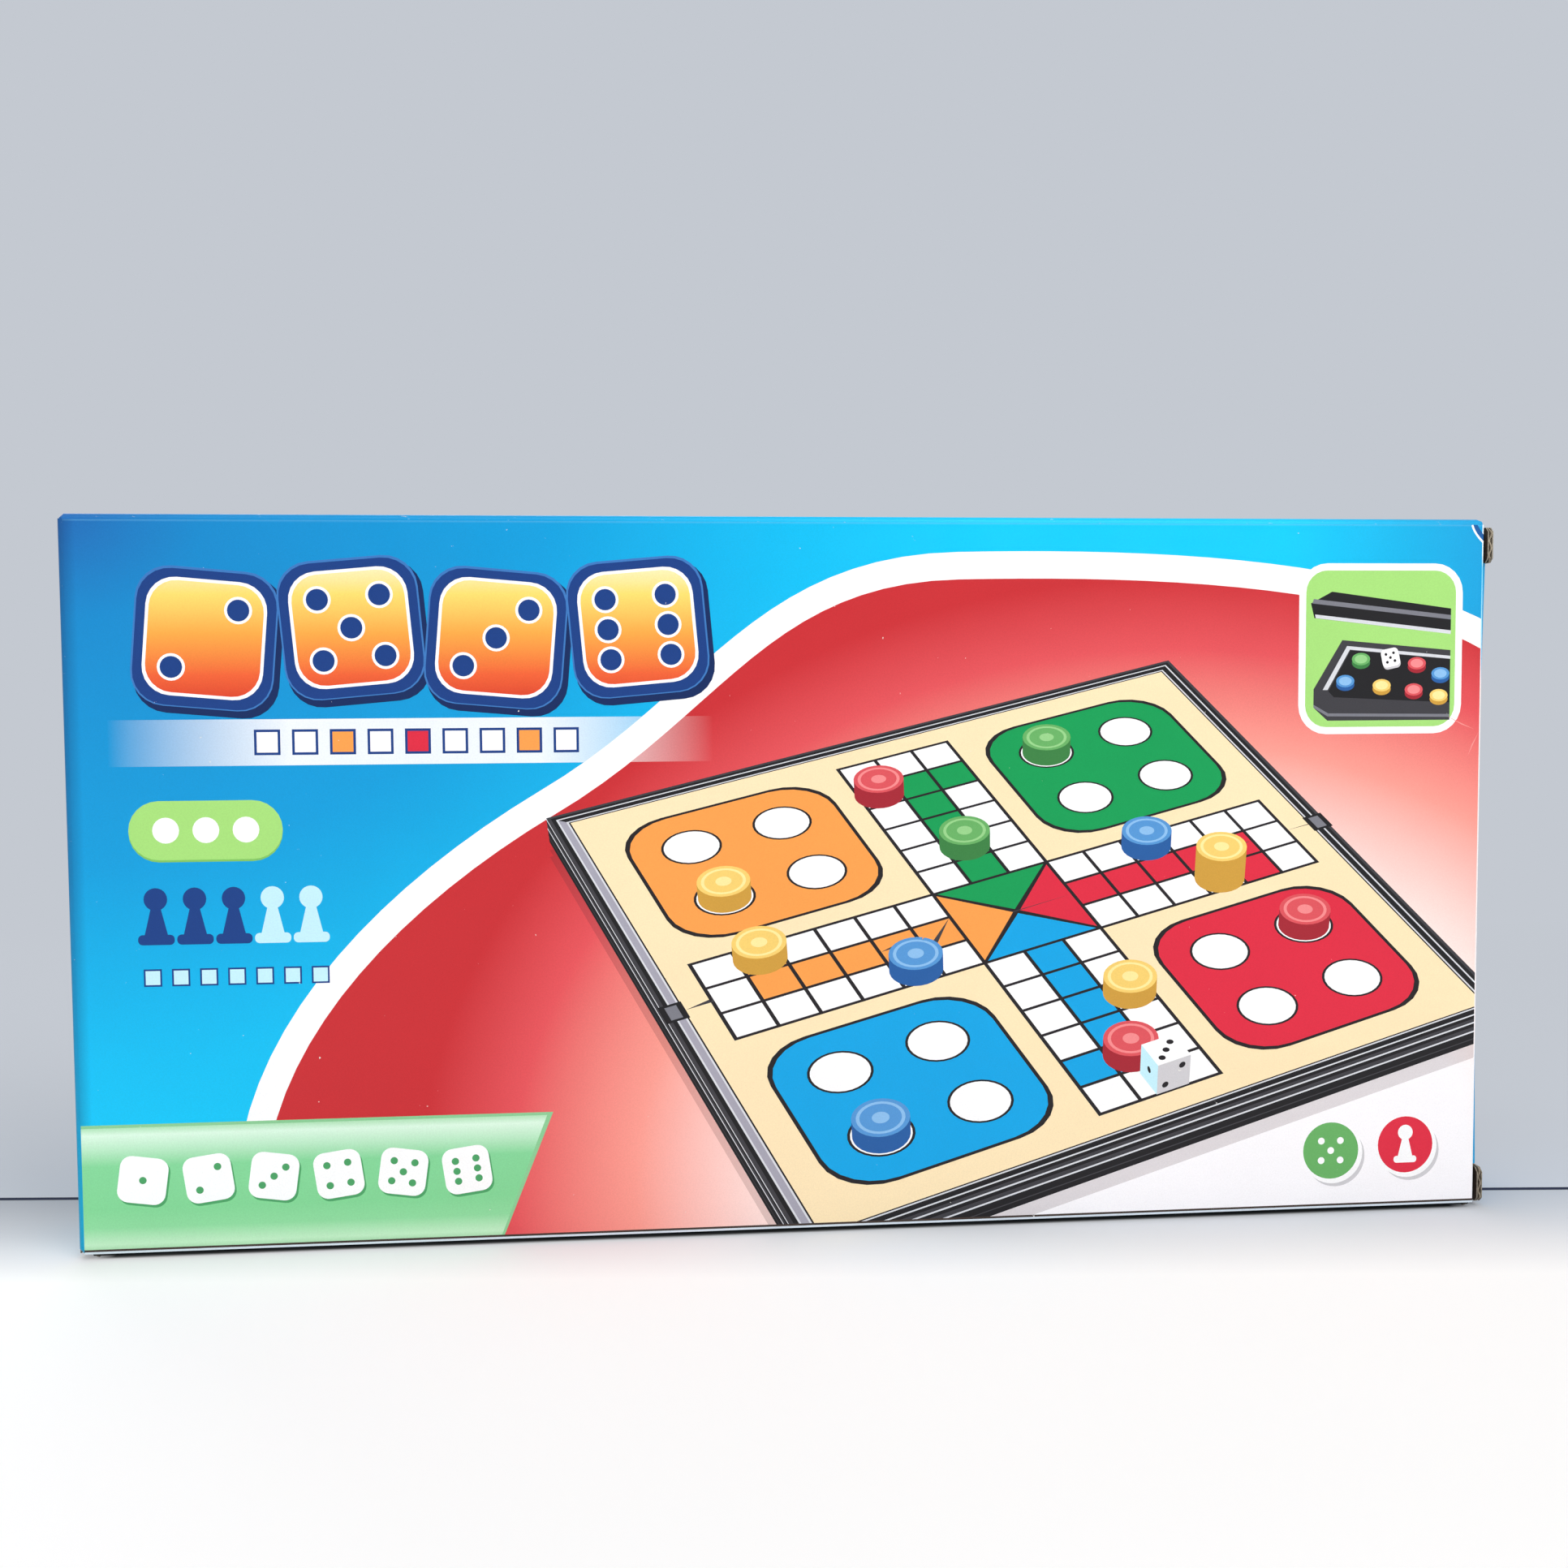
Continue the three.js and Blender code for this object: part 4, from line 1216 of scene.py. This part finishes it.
# %% Plastic and steel
COUNTER_TONES = {"red": (206, 44, 56), "yellow": (244, 204, 84),
                 "green": (72, 164, 88), "blue": (62, 136, 204)}
STEEL_TONES = [(0.0, (128, 130, 134)), (0.5, (172, 174, 178)), (1.0, (206, 208, 212))]
PALER = 90


def moulded(slot, colour, rough, texture_mm, texture_depth, scuffs=0.0, gloss=0.0):
    graph = Graph(slot)
    shaded = graph.scaled(linear(colour)[:3], graph.clouds(6.0, 3.0, 0.93, 1.07))
    rubbed = graph.spread(graph.noise(14.0, 6.0, (0.15, 1, 1), 0.75), 0.66, 0.74, 0.0, scuffs)
    tone = graph.mix(rubbed, shaded, linear(tuple(min(255, c + PALER) for c in colour)))
    uneven = graph.clouds(3.0, 3.0, rough - 0.05, rough + 0.07)
    graph.give(graph.shader, Base_Color=tone, Roughness=uneven, Coat_Weight=gloss, Coat_Roughness=0.12)
    graph.bump(graph.noise(texture_mm, 3.0), texture_depth)
    return graph


def drawn_steel(slot):
    graph = Graph(slot)
    streaks = graph.noise(0.5, 5.0, (0.03, 1, 1), 0.7)
    tone = graph.ramp(graph.spread(streaks, 0.3, 0.7), STEEL_TONES)
    rough = graph.spread(streaks, 0.3, 0.7, 0.24, 0.4)
    graph.give(graph.shader, Base_Color=tone, Metallic=1.0, Roughness=rough)
    graph.bump(streaks, 0.01)
    return graph


finishes = {"case_plastic": moulded("case_plastic", (31, 30, 33), 0.42, 0.45, 0.025, scuffs=0.18),
            "pin_steel": drawn_steel("pin_steel")}
for colour, tone in COUNTER_TONES.items():
    finishes[colour + "_plastic"] = moulded(colour + "_plastic", tone, 0.2, 1.2, 0.008, gloss=0.5)
print("finishes:", sorted(finishes))

# %% [markdown]
# A die has its spots sunk into it and painted. Each spot is a small ball taken out of the solid's
# surface: the shader measures the distance to the nearest of the twenty-one spot centres, and
# gives what is near a dark paint and a dent. Opposite faces add up to seven.

# %% The die
DIE_TURN = 18.0
SPOT_RADIUS, SPOT_PITCH, SPOT_DENT = 0.95, 2.1, 0.35


def die_plastic():
    graph = moulded("die_plastic", (240, 238, 230), 0.24, 1.5, 0.006, gloss=0.4)
    low, high = box_mm("die")
    middle = tuple((low + high) / 2 * MM)
    centred = graph.node("ShaderNodeVectorMath", graph.place, middle, operation="SUBTRACT").outputs[0]
    squared = graph.node("ShaderNodeVectorRotate", centred, rotation_type="Z_AXIS")
    graph.give(squared, Angle=-math.radians(DIE_TURN))
    nearest = 1.0
    for axis, opposite in enumerate(((1, 6), (2, 5), (3, 4))):
        for side, pips in zip((-1, 1), opposite):
            for a, b in PIPS[pips]:
                spot = [a * SPOT_PITCH, b * SPOT_PITCH]
                spot.insert(axis, side * (high.z - low.z) / 2)
                away = graph.node("ShaderNodeVectorMath", squared.outputs[0], tuple(v * MM for v in spot),
                                  operation="DISTANCE").outputs["Value"]
                nearest = graph.math("MINIMUM", away, nearest)
    inside = graph.spread(nearest, SPOT_RADIUS * 1.06 * MM, SPOT_RADIUS * 0.94 * MM)
    plain = graph.shader.inputs["Base Color"].links[0].from_socket
    graph.give(graph.shader, Base_Color=graph.mix(inside, plain, linear((26, 25, 28))))
    graph.bump(graph.spread(nearest, 0.0, SPOT_RADIUS * MM), SPOT_DENT)
    return graph


finishes["die_plastic"] = die_plastic()
slots = {"case_plastic": ("front_case_half", "rear_case_half"),
         "pin_steel": ("right_hinge_pin", "left_hinge_pin"), "die_plastic": ("die",)}
for colour in COUNTER_TONES:
    slots[colour + "_plastic"] = tuple(f"{colour}_counter_{i}" for i in range(1, 5))
for slot, nodes in slots.items():
    for name in nodes:
        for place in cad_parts[name].material_slots:
            place.material = finishes[slot].material
print("solids with a finish:", sum(len(nodes) for nodes in slots.values()))

# %% [markdown]
# The playing face is printed on two sheets of card, one let into each half of the case. Opened
# out, they meet at the hinge and make one board, so the same pattern is laid on both from the
# hinge's axis, once upwards and once downwards, and each sheet keeps its own half.

# %% The board sheets
pin_low, pin_high = box_mm("right_hinge_pin")
HINGE_HEIGHT = (pin_low.z + pin_high.z) / 2


def board_sheet(node, normal, up):
    low, high = box_mm(node)
    level = high.y if normal == "+y" else low.y
    raised = [([(x, HINGE_HEIGHT + up * z) for x, z in points], ink) for points, ink in ludo_pattern(high.x)]
    laid = [(points, ink) for points, ink in raised if max(z for _, z in points) > low.z]
    pile = Pile()
    outline = box_outline(low.x, low.z, high.x, high.z)
    slab(pile, plane(normal, level, "x", "z"), outline, laid, "board_cream", 0.0, high.y - low.y)
    made = pile.mesh(node + "_print")
    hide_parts(node)
    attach(made, "board_case")
    return len(laid)


print("shapes on the front sheet:", board_sheet("front_board_sheet", "-y", 1))
print("shapes on the rear sheet:", board_sheet("rear_board_sheet", "+y", -1))

# %% [markdown]
# The carton stands on a white table top. Painted shade greys it towards its rear edge and darkens
# it left of the carton, as the carton's shadow, and a dark line of painted shade marks that edge
# across the view behind the carton, which is turned a little against it. Beyond the line everything
# has the pale grey-blue of the room. The floor here goes on past the line in that tone, so that the
# carton stands on it from every side. Part of its tone is shown as written to the camera alone, so
# that it stays pale, and the rest is lit, so that it keeps the carton's shadow. No light reaches the
# table under the carton, so the narrow wedge below its rounded foot is drawn dark.

# %% The floor
# The table carries painted shade: a dark line at its rear edge, grey towards that edge, a shadow left of the
# carton and under its foot.
ROOM, EDGE_LINE_SHADE, FOOT_SHADOW = linear((196, 201, 209)), linear((44, 50, 70)), linear((14, 20, 20))
EDGE_BEHIND_FACE, EDGE_SLOPE = 31.0, -0.0921
EDGE_LINE, EDGE_FADE = 2.0, 60.0
LEFT_SHADE = 0.86
FLOOR_REACH, FLOOR_SINK = 6000.0, -0.06
FLOOR_SHADE_TONES = [(0.0, (184, 189, 197)), (0.45, (216, 219, 224)), (1.0, (255, 255, 255))]
FOOT_START, FOOT_FULL = 0.3, 1.9


def seen_directly(tree):
    paths = tree.nodes.new("ShaderNodeLightPath")
    either = paths.outputs["Is Camera Ray"]
    for word in ("Is Glossy Ray", "Is Transmission Ray"):
        larger = tree.nodes.new("ShaderNodeMath")
        larger.operation = "MAXIMUM"
        tree.links.new(either, larger.inputs[0])
        tree.links.new(paths.outputs[word], larger.inputs[1])
        either = larger.outputs[0]
    return either


def floor_tone(graph, inwards):
    # Painted shade: grey towards the rear edge, darker left of the carton as its shadow, and a dark line at
    # the edge.
    near = graph.ramp(graph.spread(inwards, 0.0, EDGE_FADE), FLOOR_SHADE_TONES)
    shade = graph.spread(graph.axis("x"), -FLAP_FACE, -FLAP_FACE + EDGE_FADE, LEFT_SHADE, 1.0)
    shaded = graph.scaled(near, graph.spread(inwards, EDGE_FADE / 2, EDGE_FADE, shade, 1.0))
    edge_shaded = graph.mix(graph.spread(inwards, EDGE_LINE * 1.2, EDGE_LINE), shaded, EDGE_LINE_SHADE)
    whole = graph.mix(graph.math("LESS_THAN", inwards, 0.0), edge_shaded, ROOM)
    deep, long = (graph.math("ABSOLUTE", graph.axis(letter)) for letter in "yx")
    under = graph.times(graph.spread(deep, FACE - FOOT_START, FACE - FOOT_FULL),
                        graph.spread(long, PANEL_END - 2 * FOOT_START, PANEL_END - 2.5 * FOOT_FULL))
    return graph.mix(graph.times(under, 0.95), whole, FOOT_SHADOW)


def floor_material():
    graph = Graph("floor")
    edge = graph.math("ADD", graph.times(graph.axis("x"), EDGE_SLOPE), EDGE_BEHIND_FACE - FACE)
    inwards = graph.math("SUBTRACT", edge, graph.axis("y"))
    tone = floor_tone(graph, inwards)
    lit = graph.scaled(tone, graph.clouds(180.0, 2.0, 0.985, 1.0))
    graph.give(graph.shader, Base_Color=lit, Roughness=0.9, Specular_IOR_Level=0.1)
    in_front = graph.spread(inwards, 0.0, EDGE_FADE, 0.1, 0.5)
    beyond = graph.spread(inwards, 0.0, -8 * EDGE_FADE, 0.1, 1.0)
    share = graph.times(graph.math("MAXIMUM", in_front, beyond), seen_directly(graph.tree))
    glow = graph.node("ShaderNodeEmission", tone, 1.0).outputs[0]
    both = graph.node("ShaderNodeMixShader", share, graph.shader.outputs[0], glow)
    graph.give(graph.output, Surface=both.outputs[0])
    return graph.material


floor_mesh = bpy.data.meshes.new("floor")
corners = box_outline(-FLOOR_REACH, -FLOOR_REACH, FLOOR_REACH, FLOOR_REACH)
floor_mesh.from_pydata([Vector((x, y, FLOOR_SINK)) * MM for x, y in corners], [], [[0, 1, 2, 3]])
floor_mesh.materials.append(floor_material())
put("floor", floor_mesh)
print("dark line behind the face:", EDGE_BEHIND_FACE, "mm at the middle")

# %% [markdown]
# The room is an even pale light with four large soft lamps, as in a small studio: a window at the
# right, a weak fill at the left, a ceiling light over the table and one behind. The camera and the
# reflections see the room's own tone, while the carton is lit by plain white.

# %% The room and the lamps
ROOM_LIGHT = 0.46

world = bpy.data.worlds.new("world")
bpy.context.scene.world = world
world.use_nodes = True
room = world.node_tree
room.nodes.clear()
choice = room.nodes.new("ShaderNodeMixShader")
room.links.new(seen_directly(room), choice.inputs[0])
for index, (colour, strength) in enumerate((((1, 1, 1, 1), ROOM_LIGHT), (ROOM, 1.0))):
    light = room.nodes.new("ShaderNodeBackground")
    light.inputs["Color"].default_value = colour
    light.inputs["Strength"].default_value = strength
    room.links.new(light.outputs[0], choice.inputs[index + 1])
out = room.nodes.new("ShaderNodeOutputWorld")
room.links.new(choice.outputs[0], out.inputs[0])


def soft_lamp(name, place, size, power, target=(0, 0, 0.08)):
    lamp = put(name, bpy.data.lights.new(name, "AREA"))
    lamp.data.shape = "RECTANGLE"
    lamp.data.size, lamp.data.size_y = size
    lamp.data.energy = power
    lamp.location = place
    lamp.rotation_euler = (Vector(target) - Vector(place)).to_track_quat("-Z", "Y").to_euler()


soft_lamp("window", (1.0, -1.3, 1.2), (1.0, 1.0), 11)
soft_lamp("fill", (-1.1, -1.2, 0.8), (1.2, 1.2), 2.6)
soft_lamp("ceiling", (0.1, -0.9, 1.5), (1.8, 1.2), 12, (0.1, -0.9, 0))
soft_lamp("rear", (-0.5, 1.5, 1.0), (1.4, 1.4), 13)
